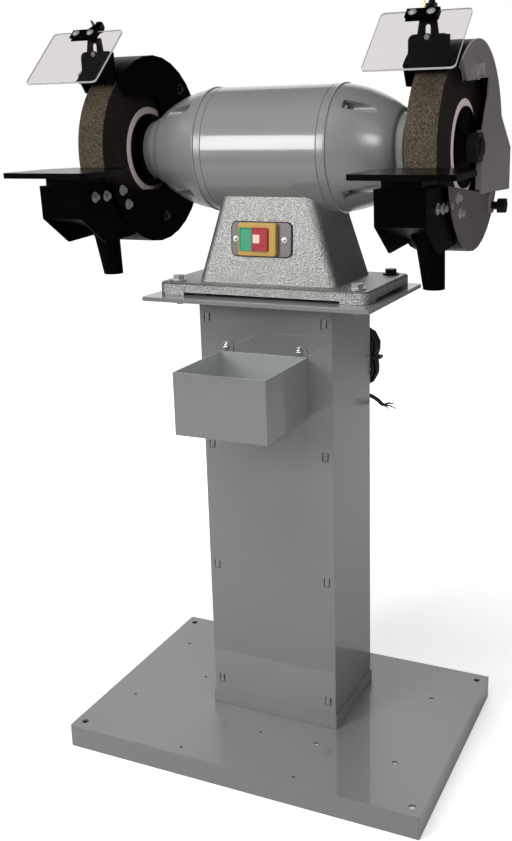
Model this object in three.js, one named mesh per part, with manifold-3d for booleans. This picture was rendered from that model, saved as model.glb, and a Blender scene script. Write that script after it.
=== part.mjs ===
// Pedestal bench grinder with two 300 mm wheels, in millimetres, +Z up.
// X runs along the shaft and -Y is the operator's side. The pieces are laid out from the middle of the base,
// and the finished group is moved so that its origin is the middle of its outer box, at floor level.
import * as THREE from 'three';
import { mergeVertices } from 'three/addons/utils/BufferGeometryUtils.js';
import Module from 'manifold-3d';

const wasm = await Module();
wasm.setup();

// Sizes shared by all pieces
const gap = 0.3;
const overrun = 4;
const weldDistance = 0.0001;
const fine = 32;
const medium = 20;
const round = 16;
const coarse = 8;
const few = 6;
const small = 4;
const tiny = 2;
const cornerShare = 0.497;

// Stand
const base = {
  width: 686.6, depth: 468, height: 42.8, sheet: 4, cornerRadius: 3,
  holeInsetX: 19.3, holeInsetY: 22, holeRadius: 6.5, smallHoleRadius: 3, largeHoleRadius: 5,
};
const baseSmallHoleShares = [[-0.836, 0.526], [-0.548, 0.068], [-0.836, -0.402], [-0.329, -0.915], [0, -0.496],
  [0.323, -0.919]];
const baseLargeHoleShares = [[0.32, -0.47], [0.754, -0.466], [0.757, 0.479]];
const column = {
  width: 251, depth: 186, height: 796.6, sheet: 3, centreY: 39.8, lip: 22,
  lanceInset: 14.5, lanceWidth: 12, lanceHeight: 16, lanceSlit: 2,
};
const lanceHeightShares = [0.068, 0.368, 0.666, 0.959];
const band = { height: 25.7, sheet: 2.7 };
const topPlate = { marginX: 15, marginY: 29, shiftY: -6, thickness: 7, cornerRadius: 5 };
const pot = {
  width: 168, depth: 164.5, height: 107.2, sheet: 2, centreX: -4, drop: 91.3,
  earWidth: 28, earHeight: 18.3, earRadius: 6, earHoleRadius: 3.2, earHoleRise: 10,
};

// Grinder foot, its bolts and the cord gland
const foot = {
  width: 392, depth: 220, flange: 21.5, cornerRadius: 14, edgeRadius: 3, padLength: 50, padDepth: 40, padHeight: 5,
  boltInsetX: 28, boltInsetY: 24, axisHeight: 244.1, centreY: 39,
  towerHeight: 151.2, bottomWidth: 263.4, bottomDepth: 166.8, topWidth: 169.2, topDepth: 145,
  towerRadius: 16, wall: 9, saddleShare: 1.13,
};
const bolt = {
  radius: 6, holeRadius: 6.7, headWidth: 19, headHeight: 7.5, washerRadius: 15, washer: 2.5, nutHeight: 10,
};
const gland = {
  x: 60, rise: 36, bossRadius: 17, bossLength: 7, flangeRadius: 13, flangeLength: 8, domeRadius: 9.5, domeLength: 14,
  shankRadius: 8,
};

// Switch on the sloping front of the foot
const switchBox = {
  centreX: -6.5, rise: 76.2, bezelWidth: 111, bezelHeight: 57, bezel: 3, bezelRadius: 9,
  blockWidth: 62, blockHeight: 46, blockDepth: 26,
  frameWidth: 71, frameHeight: 56, frameDepth: 9, frameShift: -4, frameRadius: 3,
  pocketInset: 2.5, startWidth: 25, stopWidth: 29.5, buttonHeight: 39, buttonRadius: 2,
  startProud: 1.5, stopProud: 3.5, travel: 3, rest: 0.5,
};

// Motor
const motor = { radius: 105, wall: 5.5, halfLength: 105 };
const bell = {
  length: 144.6, cavityRadius: 94, cavityDepth: 22, throatRadius: 70, throatDepth: 34, seatMouthRadius: 46,
  boreRadius: 24, pocketRadius: 9, pocketCentre: 91, pocketStart: 34, pocketEnd: 100,
};
const bellOutlineShares = [[0, 1], [0.086, 1], [0.091, 1.018], [0.108, 1.018], [0.114, 1], [0.259, 0.962],
  [0.432, 0.892], [0.674, 0.731], [0.795, 0.61], [0.823, 0.548], [0.902, 0.505], [1, 0.483]];
const stator = { halfLength: 70, boreRadius: 57.5, windingLength: 26, windingInner: 62, windingOuter: 91 };
const rotor = { halfLength: 70, radius: 55.5, ringLength: 8, ringInner: 34 };
const bearing = { width: 21, outerRadius: 40, journalRadius: 17.2, innerAt: 204.3 };
const shaft = { coreRadius: 20, shoulderAt: 255.2, seatRadius: 15.7, threadRadius: 14.7, stub: 4, endChamfer: 1.5 };

// Wheels and their clamping
const wheel = { radius: 150, width: 50, centreX: 292.8, chamfer: 1.2 };
const blotter = { radius: 75.6, thickness: 0.9 };
const flange = { radius: 64, outerThickness: 9, rim: 4, relief: 1.5, reliefRadius: 46, hub: 25 };
const nut = { width: 46, height: 18 };

// Wheel guards and their covers; outlines are shares of the guard's radius, forward and up from the shaft
const guard = {
  radius: 164.2, sheet: 3, innerAt: 250.4, width: 88, hubRadius: 60,
  treadStart: 130.66, treadEnd: 221, studRadius: 4, nutWidth: 17, nutHeight: 8, tabRadius: 16,
  lipWidth: 60, lipTop: 165.1, lipBottom: 118,
};
const mouthShares = [[-0.652, 0.759], [-0.542, 0.572], [0.06, 0.572], [0.122, 0.5], [0.122, -0.438],
  [-0.402, -0.402], [-0.926, -0.305], [-1.35, -0.305], [-1.35, 0.9]];
const outerOpeningShares = [[-0.6, 0.7], [-0.53, 0.61], [-0.2, 0.66], [0.2, 0.72], [0.56, 0.62], [0.8, 0.2],
  [0.86, -0.1], [0.84, -0.36], [0.2, -0.44], [-0.926, -0.305], [-1.35, -0.305], [-1.35, 0.9]];
const cover = {
  sheet: 3, lobeStart: 128.2, slotWidth: 14, slotForward: 12, slotTop: 124, nutRise: 118, frontY: 28,
  creaseBackShare: 0.286, panBackY: 150, panTop: -5, panBottom: -75, flare: 18.7, foldDepth: 10, creaseFront: 26,
  tabWidth: 30, tabDrop: 41, tabY: 105, tabHoleRadius: 4.4, knobDrop: 25,
};
const coverInnerShares = [[-0.43, 0.609], [-0.13, 0.627], [0.0, 0.64], [0.402, 0.658], [0.366, 0.493]];
const knob = { radius: 13, lobes: 6, lobeDepth: 1.6, height: 14, stemRadius: 7, stemLength: 10, studRadius: 4 };

// Dust hopper with its spout, and the tool rest on it; both are same-handed at the two wheels
const hopper = {
  halfWidth: 39.1, sheet: 3, frontY: -245, frontTop: -48.4, frontBottomY: -243, frontBottom: -102.4,
  tipY: -178, tip: -148.4, heelY: -82, heel: -143.4, floorBack: -139, backY: -125, backTop: -110.4,
  topBackY: -151, slotWidth: 10.8,
};
const spout = {
  flareX: 7, topX: 14.5, bottomX: 19, topY: -137, bottomY: -131, flareRadius: 31, topRadius: 22, bottomRadius: 17,
  wall: 2.5, bottomDrop: 207.4, topDrop: 141.4, flareDrop: 112,
};
const rest = {
  left: -54.4, right: 101, frontY: -320, clearance: 4.3, thickness: 8.5, cornerRadius: 9, chamferX: 26,
  chamferY: 54, riserHeight: 16.2, riserHalfWidth: 30, riserFrontY: -239, riserBackY: -164,
  studX: 18, studY: -204, studRadius: 5, nutWidth: 17, nutHeight: 8, travelOut: 20, travelIn: 2,
};

// Spark plate, eye shield and the arm that carries it
const spark = {
  left: -33, right: 30, bottom: 113.6, top: 166.6, sheet: 3, cornerRadius: 9, slotWidth: 7,
  travelUp: 12,
};
const arm = {
  centreX: -1.5, sheet: 3, bottom: 148.6, top: 187.6, bottomWidth: 38, topWidth: 26, slotWidth: 8,
  studDrop: 4.9, studRadius: 3, nutWidth: 10, nutHeight: 5, travel: 14, ear: 3, earRadius: 10,
  pivotY: -95, pivotZ: 206.6, pivotRadius: 3, pivotHoleRadius: 3.3, earFootLow: 184.4,
  earFrom: -69, earTo: 124, clampEarFrom: -82, clampEarTo: 106,
};
const clamp = { left: -27, right: 23, sheet: 2.5, overlap: 16, screwX: 14, screwRadius: 2.5, headRadius: 4.2, head: 2.6 };
const shield = {
  width: 137, height: 122.5, thickness: 3.5, cornerRadius: 7, centreX: 2.5, slope: 42.45,
  topY: -134, topZ: 196.4, holeRadius: 2.8,
};
const wing = { hubRadius: 5, hubLength: 6, span: 12.5, reach: 11, thickness: 3, headWidth: 9, head: 4 };

// Supply cord with its hank
const cord = { diameter: 8, sides: 8, clear: 0.6 };
const hank = {
  x: 101.6, y: 152, z: 708, halfWidth: 20, halfHeight: 30, waistShare: 0.775, turns: 3, sides: 6, stepsPerLoop: 24,
  tieHeight: 5, tieBand: 1.4,
};

// Positions worked out from the sizes above
const bandBottom = base.height + gap;
const columnTop = bandBottom + column.height;
const columnFront = column.centreY - column.depth / 2;
const plateBottom = columnTop + gap;
const plateTop = plateBottom + topPlate.thickness;
const footBottom = plateTop + gap;
const flangeTop = footBottom + foot.flange;
const axis = { y: foot.centreY, z: footBottom + foot.axisHeight };
const bellStart = motor.halfLength + gap;
const slopeRun = (foot.bottomDepth - foot.topDepth) / 2;
const slopeAngle = Math.atan2(slopeRun, foot.towerHeight);
const innerBlotterAt = wheel.centreX - wheel.width / 2 - gap - blotter.thickness;
const outerBlotterAt = wheel.centreX + wheel.width / 2 + gap;
const outerFlangeAt = outerBlotterAt + blotter.thickness + gap;
const nutAt = outerFlangeAt + flange.outerThickness + gap;
const guardOuter = guard.innerAt + guard.width;
const coverOuter = guardOuter + gap + cover.sheet;
const studZ = axis.z + spark.top - arm.studDrop;

const material = (color, roughness, metalness) => (
  new THREE.MeshStandardMaterial({ color, roughness, metalness, flatShading: true })
);
const greyPaint = material(0x828784, 0.35, 0.1);
const hammered = material(0xbfc0bd, 0.4, 0.4);
const motorPaint = material(0x8c8f8c, 0.4, 0.2);
const blackPaint = material(0x17181a, 0.35, 0.2);
const coverPaint = material(0x55504f, 0.4, 0.2);
const steel = material(0xb4b6b8, 0.3, 0.9);
const stone = material(0x6b6150, 0.95, 0);
const paper = material(0xd9bab8, 0.9, 0);
const yellow = material(0xd7b05a, 0.5, 0);
const green = material(0x5aaa82, 0.45, 0);
const red = material(0xa53c41, 0.45, 0);
const clear = new THREE.MeshStandardMaterial({ color: 0xdcd8d6, roughness: 0.1, transparent: true, opacity: 0.35 });
const rubber = material(0x141414, 0.7, 0);
const copper = material(0x9a5a35, 0.4, 0.8);

const grinder = new THREE.Group();

// Welds a geometry into one closed body whose faces point outward
function weld(geometry) {
  const bare = new THREE.BufferGeometry();
  bare.setAttribute('position', geometry.getAttribute('position').clone());
  if (geometry.index) bare.setIndex(geometry.index.clone());
  const merged = mergeVertices(bare, weldDistance);
  const at = merged.getAttribute('position');
  const corner = [new THREE.Vector3(), new THREE.Vector3(), new THREE.Vector3()];
  const triangles = [];
  let volume = 0;
  for (let i = 0; i < merged.index.count; i += 3) {
    const face = [0, 1, 2].map((k) => merged.index.getX(i + k));
    if (new Set(face).size === 3) {
      face.forEach((index, k) => corner[k].fromBufferAttribute(at, index));
      volume += corner[0].dot(corner[1].clone().cross(corner[2]));
      triangles.push(face);
    }
  }
  const turned = volume < 0 ? triangles.map(([a, b, c]) => [a, c, b]) : triangles;
  merged.setIndex(turned.flat());
  return merged;
}

// Makes a boolean solid of a geometry, or passes a solid through
function solid(shape) {
  if (shape instanceof wasm.Manifold) return shape;
  const welded = weld(shape);
  const mesh = new wasm.Mesh({
    numProp: 3,
    vertProperties: new Float32Array(welded.getAttribute('position').array),
    triVerts: new Uint32Array(welded.index.array),
  });
  return new wasm.Manifold(mesh);
}

const join = (...shapes) => shapes.flat().map(solid).reduce((whole, next) => whole.add(next));
const cut = (body, ...tools) => tools.flat().map(solid).reduce((left, tool) => left.subtract(tool), solid(body));

// Adds one named piece to the model
function add(name, shape, look, parent = grinder) {
  let geometry;
  if (shape instanceof wasm.Manifold) {
    const { vertProperties, triVerts } = shape.getMesh();
    geometry = new THREE.BufferGeometry();
    geometry.setAttribute('position', new THREE.BufferAttribute(new Float32Array(vertProperties), 3));
    geometry.setIndex(Array.from(triVerts));
  } else {
    geometry = weld(shape);
  }
  geometry.computeVertexNormals();
  const mesh = new THREE.Mesh(geometry, look);
  mesh.name = name;
  parent.add(mesh);
  return mesh;
}

// Outline from a list of points
function outline(points) {
  return new THREE.Shape(points.map(([a, b]) => new THREE.Vector2(a, b)));
}

function circle(a, b, radius) {
  const shape = new THREE.Shape();
  shape.absarc(a, b, radius, 0, 2 * Math.PI);
  return shape;
}

function rounded(left, low, right, high, radius) {
  const shape = new THREE.Shape();
  const r = Math.min(radius, cornerShare * (right - left), cornerShare * (high - low));
  shape.absarc(right - r, low + r, r, -Math.PI / 2, 0);
  shape.absarc(right - r, high - r, r, 0, Math.PI / 2);
  shape.absarc(left + r, high - r, r, Math.PI / 2, Math.PI);
  shape.absarc(left + r, low + r, r, Math.PI, 1.5 * Math.PI);
  return shape;
}

function hexagon(a, b, acrossFlats) {
  const radius = acrossFlats / Math.sqrt(3);
  return outline([0, 1, 2, 3, 4, 5].map((k) => (
    [a + radius * Math.cos((k * Math.PI) / 3), b + radius * Math.sin((k * Math.PI) / 3)]
  )));
}

// Slot with round ends from low to high along the second direction
function slot(a, low, high, width) {
  return rounded(a - width / 2, low, a + width / 2, high, width / 2);
}

function extrude(shape, depth, curveSegments) {
  return new THREE.ExtrudeGeometry(shape, { depth, bevelEnabled: false, curveSegments });
}

const turnToX = new THREE.Matrix4().makeBasis(
  new THREE.Vector3(0, 1, 0), new THREE.Vector3(0, 0, 1), new THREE.Vector3(1, 0, 0),
);

// Extrusions of a (y, z), an (x, z) and an (x, y) outline
const alongX = (shape, x0, x1, segments = coarse) => (
  extrude(shape, Math.abs(x1 - x0), segments).applyMatrix4(turnToX).translate(Math.min(x0, x1), 0, 0)
);
const alongY = (shape, y0, y1, segments = coarse) => (
  extrude(shape, y1 - y0, segments).rotateX(Math.PI / 2).translate(0, y1, 0)
);
const alongZ = (shape, z0, z1, segments = coarse) => extrude(shape, z1 - z0, segments).translate(0, 0, z0);

function block(x0, x1, y0, y1, z0, z1) {
  const [left, right] = [Math.min(x0, x1), Math.max(x0, x1)];
  return new THREE.BoxGeometry(right - left, y1 - y0, z1 - z0)
    .translate((left + right) / 2, (y0 + y1) / 2, (z0 + z1) / 2);
}

// Revolve of an (x, radius) profile around the shaft's axis; a ring's profile closes on itself
function turned(profile, segments = fine, y = axis.y, z = axis.z) {
  const points = profile.map(([x, r]) => new THREE.Vector2(r, x));
  return new THREE.LatheGeometry(points, segments).rotateZ(-Math.PI / 2).translate(0, y, z);
}

const ring = (profile, segments, y, z) => turned([...profile, profile[0]], segments, y, z);

function barX(x0, x1, radius, y, z, segments = coarse) {
  return turned([[Math.min(x0, x1), 0], [Math.min(x0, x1), radius], [Math.max(x0, x1), radius],
    [Math.max(x0, x1), 0]], segments, y, z);
}

// Skin over level rings of points, closed at both ends
function loft(rings) {
  const count = rings[0].points.length;
  const positions = rings.flatMap(({ points, z }) => points.flatMap(([x, y]) => [x, y, z]));
  const index = [];
  for (let level = 0; level + 1 < rings.length; level += 1) {
    for (let i = 0; i < count; i += 1) {
      const a = level * count + i;
      const b = level * count + ((i + 1) % count);
      index.push(a, b, b + count, a, b + count, a + count);
    }
  }
  const cap = THREE.ShapeUtils.triangulateShape(rings[0].points.map(([x, y]) => new THREE.Vector2(x, y)), []);
  const last = (rings.length - 1) * count;
  cap.forEach(([a, b, c]) => index.push(a, c, b, last + a, last + b, last + c));
  const geometry = new THREE.BufferGeometry();
  geometry.setAttribute('position', new THREE.Float32BufferAttribute(positions, 3));
  geometry.setIndex(index);
  return geometry;
}

function roundedRing(halfX, halfY, radius, centreY, z) {
  const points = rounded(-halfX, centreY - halfY, halfX, centreY + halfY, radius).getPoints(tiny);
  const distinct = points.filter((p, i) => p.distanceTo(points[(i + 1) % points.length]) > weldDistance);
  return { z, points: distinct.map((p) => [p.x, p.y]) };
}

function roundRing(x, y, radius, z) {
  const steps = Array.from({ length: round }, (_, i) => (2 * Math.PI * i) / round);
  return { z, points: steps.map((t) => [x + radius * Math.cos(t), y + radius * Math.sin(t)]) };
}

const sideNames = [['left', -1], ['right', 1]];

// Folded base tray, open underneath, with floor bolt holes in its corners
function buildBase() {
  const [halfX, halfY] = [base.width / 2, base.depth / 2];
  const tray = cut(
    alongZ(rounded(-halfX, -halfY, halfX, halfY, base.cornerRadius), 0, base.height, tiny),
    block(-halfX + base.sheet, halfX - base.sheet, -halfY + base.sheet, halfY - base.sheet,
      -overrun, base.height - base.sheet),
  );
  const holes = [];
  for (const x of [-1, 1]) {
    for (const y of [-1, 1]) {
      holes.push([x * (halfX - base.holeInsetX), y * (halfY - base.holeInsetY), base.holeRadius]);
    }
  }
  baseSmallHoleShares.forEach(([x, y]) => holes.push([x * halfX, y * halfY, base.smallHoleRadius]));
  baseLargeHoleShares.forEach(([x, y]) => holes.push([x * halfX, y * halfY, base.largeHoleRadius]));
  const drills = holes.map(([x, y, r]) => alongZ(circle(x, y, r), base.height - 2 * base.sheet,
    base.height + overrun, small));
  add('base_plate', cut(tray, drills), greyPaint);
}

// Column: a folded back shell with return lips, and a front panel hooked into them
function buildColumn() {
  const halfX = column.width / 2;
  const back = column.centreY + column.depth / 2;
  const shellFront = columnFront + column.sheet + gap;
  const inner = halfX - column.sheet;
  const shell = outline([
    [-halfX, shellFront], [-halfX + column.lip, shellFront], [-halfX + column.lip, shellFront + column.sheet],
    [-inner, shellFront + column.sheet], [-inner, back - column.sheet], [inner, back - column.sheet],
    [inner, shellFront + column.sheet], [halfX - column.lip, shellFront + column.sheet],
    [halfX - column.lip, shellFront], [halfX, shellFront], [halfX, back], [-halfX, back],
  ]);
  add('column_shell', alongZ(shell, bandBottom, columnTop), greyPaint);

  const slits = [];
  const reach = column.lanceWidth / 2;
  for (const side of [-1, 1]) {
    for (const share of lanceHeightShares) {
      const x = side * (halfX - column.lanceInset);
      const z = bandBottom + share * column.height;
      const top = z + column.lanceHeight / 2;
      const low = z - column.lanceHeight / 2;
      const hook = outline([
        [x - reach, top], [x - reach, low], [x + reach, low], [x + reach, top], [x + reach - column.lanceSlit, top],
        [x + reach - column.lanceSlit, low + column.lanceSlit], [x - reach + column.lanceSlit, low + column.lanceSlit],
        [x - reach + column.lanceSlit, top],
      ]);
      slits.push(alongY(hook, columnFront - overrun, columnFront + overrun + column.sheet));
    }
  }
  const panel = block(-halfX, halfX, columnFront, columnFront + column.sheet, bandBottom, columnTop);
  add('column_front_panel', cut(panel, slits), greyPaint);

  const bandIn = [halfX + gap, column.depth / 2 + gap];
  const bandShape = rounded(-bandIn[0] - band.sheet, column.centreY - bandIn[1] - band.sheet,
    bandIn[0] + band.sheet, column.centreY + bandIn[1] + band.sheet, band.sheet);
  const passage = block(-bandIn[0], bandIn[0], column.centreY - bandIn[1], column.centreY + bandIn[1],
    bandBottom - overrun, bandBottom + band.height + overrun);
  add('column_foot_band', cut(alongZ(bandShape, bandBottom, bandBottom + band.height, tiny), passage), greyPaint);
}

const boltPlaces = [['front', -1], ['rear', 1]].flatMap(([yName, y]) => sideNames.map(([xName, x]) => ({
  name: `${yName}_${xName}`,
  x: x * (foot.width / 2 - foot.boltInsetX),
  y: foot.centreY + y * (foot.depth / 2 - foot.boltInsetY),
})));

function buildTopPlate() {
  const [halfX, halfY] = [foot.width / 2 + topPlate.marginX, foot.depth / 2 + topPlate.marginY];
  const middle = foot.centreY + topPlate.shiftY;
  const plate = rounded(-halfX, middle - halfY, halfX, middle + halfY, topPlate.cornerRadius);
  boltPlaces.forEach(({ x, y }) => plate.holes.push(circle(x, y, bolt.holeRadius)));
  add('stand_top_plate', alongZ(plate, plateBottom, plateTop, small), greyPaint);
}

// Folded water pot, open on top, with two ears screwed to the column's front panel
function buildPot() {
  const back = columnFront - gap;
  const front = back - pot.depth;
  const [left, right] = [pot.centreX - pot.width / 2, pot.centreX + pot.width / 2];
  const rim = columnTop - pot.drop;
  const floor = rim - pot.height;
  const ears = [left, right - pot.earWidth].map((x) => alongY(
    rounded(x, rim - pot.earHeight, x + pot.earWidth, rim + pot.earHeight, pot.earRadius), back - pot.sheet, back, tiny,
  ));
  const holes = [left, right - pot.earWidth].map((x) => alongY(
    circle(x + pot.earWidth / 2, rim + pot.earHoleRise, pot.earHoleRadius), back - overrun, back + overrun, small,
  ));
  const hollow = block(left + pot.sheet, right - pot.sheet, front + pot.sheet, back - pot.sheet,
    floor + pot.sheet, rim + pot.earHeight + overrun);
  const body = cut(block(left, right, front, back, floor, rim), hollow);
  add('water_pot', cut(join(body, ears), holes), greyPaint);
}

// Half sizes of the tower's section, some height above the flange
function towerHalf(height, inset) {
  const share = height / foot.towerHeight;
  return [
    (foot.bottomWidth + (foot.topWidth - foot.bottomWidth) * share) / 2 - inset,
    (foot.bottomDepth + (foot.topDepth - foot.bottomDepth) * share) / 2 - inset,
  ];
}

function towerLoft(from, to, inset) {
  return loft([from, to].map((height) => {
    const [halfX, halfY] = towerHalf(height, inset);
    return roundedRing(halfX, halfY, foot.towerRadius - inset, foot.centreY, flangeTop + height);
  }));
}

const slopeY = foot.centreY - towerHalf(switchBox.rise, 0)[1];
const switchGroup = new THREE.Group();
switchGroup.position.set(switchBox.centreX, slopeY, flangeTop + switchBox.rise);
switchGroup.rotation.x = -slopeAngle;
switchGroup.updateMatrix();
grinder.add(switchGroup);

// Cast foot: flange on four pads, hollow tapered tower and a saddle under the motor
function buildFoot() {
  const [halfX, halfY] = [foot.width / 2, foot.depth / 2];
  const flangeBody = loft([
    roundedRing(halfX, halfY, foot.cornerRadius, foot.centreY, footBottom),
    roundedRing(halfX, halfY, foot.cornerRadius, foot.centreY, flangeTop - foot.edgeRadius),
    roundedRing(halfX - foot.edgeRadius, halfY - foot.edgeRadius, foot.cornerRadius - foot.edgeRadius,
      foot.centreY, flangeTop),
  ]);
  const padX = halfX - foot.padLength;
  const padY = halfY - foot.padDepth;
  const underside = [
    block(-padX, padX, foot.centreY - halfY - overrun, foot.centreY + halfY + overrun,
      footBottom - overrun, footBottom + foot.padHeight),
    block(-halfX - overrun, halfX + overrun, foot.centreY - padY, foot.centreY + padY,
      footBottom - overrun, footBottom + foot.padHeight),
  ];
  const saddleTop = foot.saddleShare * foot.towerHeight;
  const tower = towerLoft(-foot.flange / 2, saddleTop, 0);
  const saddle = barX(-halfX, halfX, motor.radius + gap, axis.y, axis.z, fine);
  const roof = barX(-halfX, halfX, motor.radius + gap + foot.wall, axis.y, axis.z, fine);
  const cavity = cut(towerLoft(-foot.flange - overrun, saddleTop, foot.wall), roof);
  const glandZ = flangeTop + gland.rise;
  const glandY = foot.centreY + towerHalf(gland.rise, 0)[1];
  const boss = alongY(circle(gland.x, glandZ, gland.bossRadius), glandY - foot.wall, glandY + gland.bossLength);
  const glandHole = alongY(circle(gland.x, glandZ, gland.shankRadius + gap), glandY - 3 * foot.wall,
    glandY + gland.bossLength + overrun);
  const window = block(-switchBox.blockWidth / 2 - gap, switchBox.blockWidth / 2 + gap, -overrun, 2 * foot.wall,
    -switchBox.blockHeight / 2 - gap, switchBox.blockHeight / 2 + gap).applyMatrix4(switchGroup.matrix);
  const drills = boltPlaces.map(({ x, y }) => alongZ(circle(x, y, bolt.holeRadius), footBottom - overrun,
    flangeTop + overrun, few));
  const body = cut(join(cut(flangeBody, underside), tower, boss), saddle, cavity, window, glandHole, drills);
  add('grinder_foot', body, hammered);
}

// Through bolt with its washer, and the nut under the stand's top plate
function buildFootBolts() {
  for (const { name, x, y } of boltPlaces) {
    const washerTop = flangeTop + gap + bolt.washer;
    add(`foot_bolt_${name}`, join(
      alongZ(circle(x, y, bolt.washerRadius), flangeTop + gap, washerTop),
      alongZ(hexagon(x, y, bolt.headWidth), washerTop - weldDistance, washerTop + bolt.headHeight),
      alongZ(circle(x, y, bolt.radius), plateBottom - gap - bolt.nutHeight - bolt.washer, washerTop, small),
      alongZ(hexagon(x, y, bolt.headWidth), plateBottom - gap - bolt.nutHeight, plateBottom - gap),
    ), steel);
  }
}

// Cable gland screwed into the boss on the back of the foot
const glandFace = foot.centreY + towerHalf(gland.rise, 0)[1] + gland.bossLength;
const glandEnd = glandFace + gap + gland.flangeLength + gland.domeLength;
function buildGland() {
  const z = flangeTop + gland.rise;
  const body = join(
    alongY(hexagon(gland.x, z, 2 * gland.flangeRadius), glandFace + gap, glandFace + gap + gland.flangeLength),
    alongY(circle(gland.x, z, gland.domeRadius), glandFace + gland.flangeLength, glandEnd),
    alongY(circle(gland.x, z, gland.shankRadius), glandFace - 2 * foot.wall, glandFace + gland.flangeLength),
  );
  add('cord_gland', body, rubber);
}

// Start and stop switch, standing square to the sloping front
function buildSwitch() {
  const s = switchBox;
  const bezelFront = -gap - s.bezel;
  const frameBack = bezelFront - gap;
  const frameFront = frameBack - s.frameDepth;
  const bezel = join(
    alongY(rounded(-s.bezelWidth / 2, -s.bezelHeight / 2, s.bezelWidth / 2, s.bezelHeight / 2, s.bezelRadius),
      bezelFront, -gap, small),
    block(-s.blockWidth / 2, s.blockWidth / 2, -s.bezel, s.blockDepth, -s.blockHeight / 2, s.blockHeight / 2),
  );
  add('switch_bezel', bezel, steel, switchGroup);

  const left = s.frameShift - s.frameWidth / 2;
  const pocketLeft = left + s.pocketInset;
  const pocketRight = pocketLeft + s.startWidth + s.stopWidth + 3 * gap;
  const halfPocket = s.buttonHeight / 2 + gap;
  const frame = rounded(left, -s.frameHeight / 2, left + s.frameWidth, s.frameHeight / 2, s.frameRadius);
  frame.holes.push(outline([[pocketLeft, -halfPocket], [pocketRight, -halfPocket], [pocketRight, halfPocket],
    [pocketLeft, halfPocket]]));
  add('switch_frame', alongY(frame, frameFront, frameBack, tiny), yellow, switchGroup);

  const buttonBack = bezelFront - s.rest - s.travel;
  const button = (x, width, proud) => alongY(
    rounded(x, -s.buttonHeight / 2, x + width, s.buttonHeight / 2, s.buttonRadius), frameFront - proud, buttonBack, tiny,
  );
  add('start_button', button(pocketLeft + gap, s.startWidth, s.startProud), green, switchGroup);
  add('stop_button', button(pocketLeft + 2 * gap + s.startWidth, s.stopWidth, s.stopProud), red, switchGroup);
}

// Motor shell, laminated core with its windings, and the turning rotor
function buildMotor() {
  const inner = motor.radius - motor.wall;
  const half = motor.halfLength;
  add('motor_shell', ring([[-half, inner], [-half, motor.radius], [half, motor.radius], [half, inner]]), motorPaint);

  const pack = stator.halfLength;
  const turnsEnd = pack + stator.windingLength;
  const packRadius = inner - gap;
  add('stator_core', ring([
    [-pack, stator.boreRadius], [-pack, stator.windingInner], [-turnsEnd, stator.windingInner],
    [-turnsEnd, stator.windingOuter], [-pack, stator.windingOuter], [-pack, packRadius], [pack, packRadius],
    [pack, stator.windingOuter], [turnsEnd, stator.windingOuter], [turnsEnd, stator.windingInner],
    [pack, stator.windingInner], [pack, stator.boreRadius],
  ], round), copper);

  const cage = rotor.halfLength + rotor.ringLength;
  const bore = shaft.coreRadius + gap;
  add('rotor_core', ring([
    [-rotor.halfLength, bore], [-rotor.halfLength, rotor.ringInner], [-cage, rotor.ringInner], [-cage, rotor.radius],
    [cage, rotor.radius], [cage, rotor.ringInner], [rotor.halfLength, rotor.ringInner], [rotor.halfLength, bore],
  ], round), steel);

  const shaftEnd = nutAt + nut.height + shaft.stub;
  const profile = [
    [shaftEnd, 0], [shaftEnd, shaft.threadRadius - shaft.endChamfer], [shaftEnd - shaft.endChamfer, shaft.threadRadius],
    [nutAt - 2 * gap, shaft.threadRadius], [nutAt - 2 * gap, shaft.seatRadius], [shaft.shoulderAt, shaft.seatRadius],
    [shaft.shoulderAt, bearing.journalRadius], [bearing.innerAt - gap, bearing.journalRadius],
    [bearing.innerAt - gap, shaft.coreRadius],
  ];
  const mirrored = profile.map(([x, r]) => [-x, r]).reverse();
  add('motor_shaft', turned([...profile, ...mirrored], round), steel);
}

// End bells with bearing seats and four recessed bolt pockets each, and the ball bearings
function buildBells() {
  for (const [name, side] of sideNames) {
    const end = bellStart + bell.length;
    const seatStart = bearing.innerAt - gap;
    const seatEnd = bearing.innerAt + bearing.width + gap;
    const seatRadius = bearing.outerRadius + gap;
    const outer = bellOutlineShares.map(([along, r]) => [bellStart + along * bell.length, r * motor.radius]);
    const inside = [
      [end, bell.boreRadius], [seatEnd, bell.boreRadius], [seatEnd, seatRadius], [seatStart, seatRadius],
      [seatStart, bell.seatMouthRadius], [bellStart + bell.throatDepth, bell.throatRadius],
      [bellStart + bell.cavityDepth, bell.cavityRadius], [bellStart, motor.radius - motor.wall],
    ];
    const body = ring([...outer, ...inside].map(([x, r]) => [side * x, r]));
    const pockets = [45, 135, 225, 315].map((degrees) => {
      const t = THREE.MathUtils.degToRad(degrees);
      return barX(side * (bellStart + bell.pocketStart), side * (bellStart + bell.pocketEnd), bell.pocketRadius,
        axis.y + bell.pocketCentre * Math.cos(t), axis.z + bell.pocketCentre * Math.sin(t));
    });
    add(`end_bell_${name}`, cut(body, pockets), motorPaint);

    const bore = bearing.journalRadius + gap;
    const [a, b] = [bearing.innerAt, bearing.innerAt + bearing.width];
    add(`bearing_${name}`, ring([
      [a, bore], [a, bearing.outerRadius], [b, bearing.outerRadius], [b, bore],
    ].map(([x, r]) => [side * x, r]), round), steel);
  }
}

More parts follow.
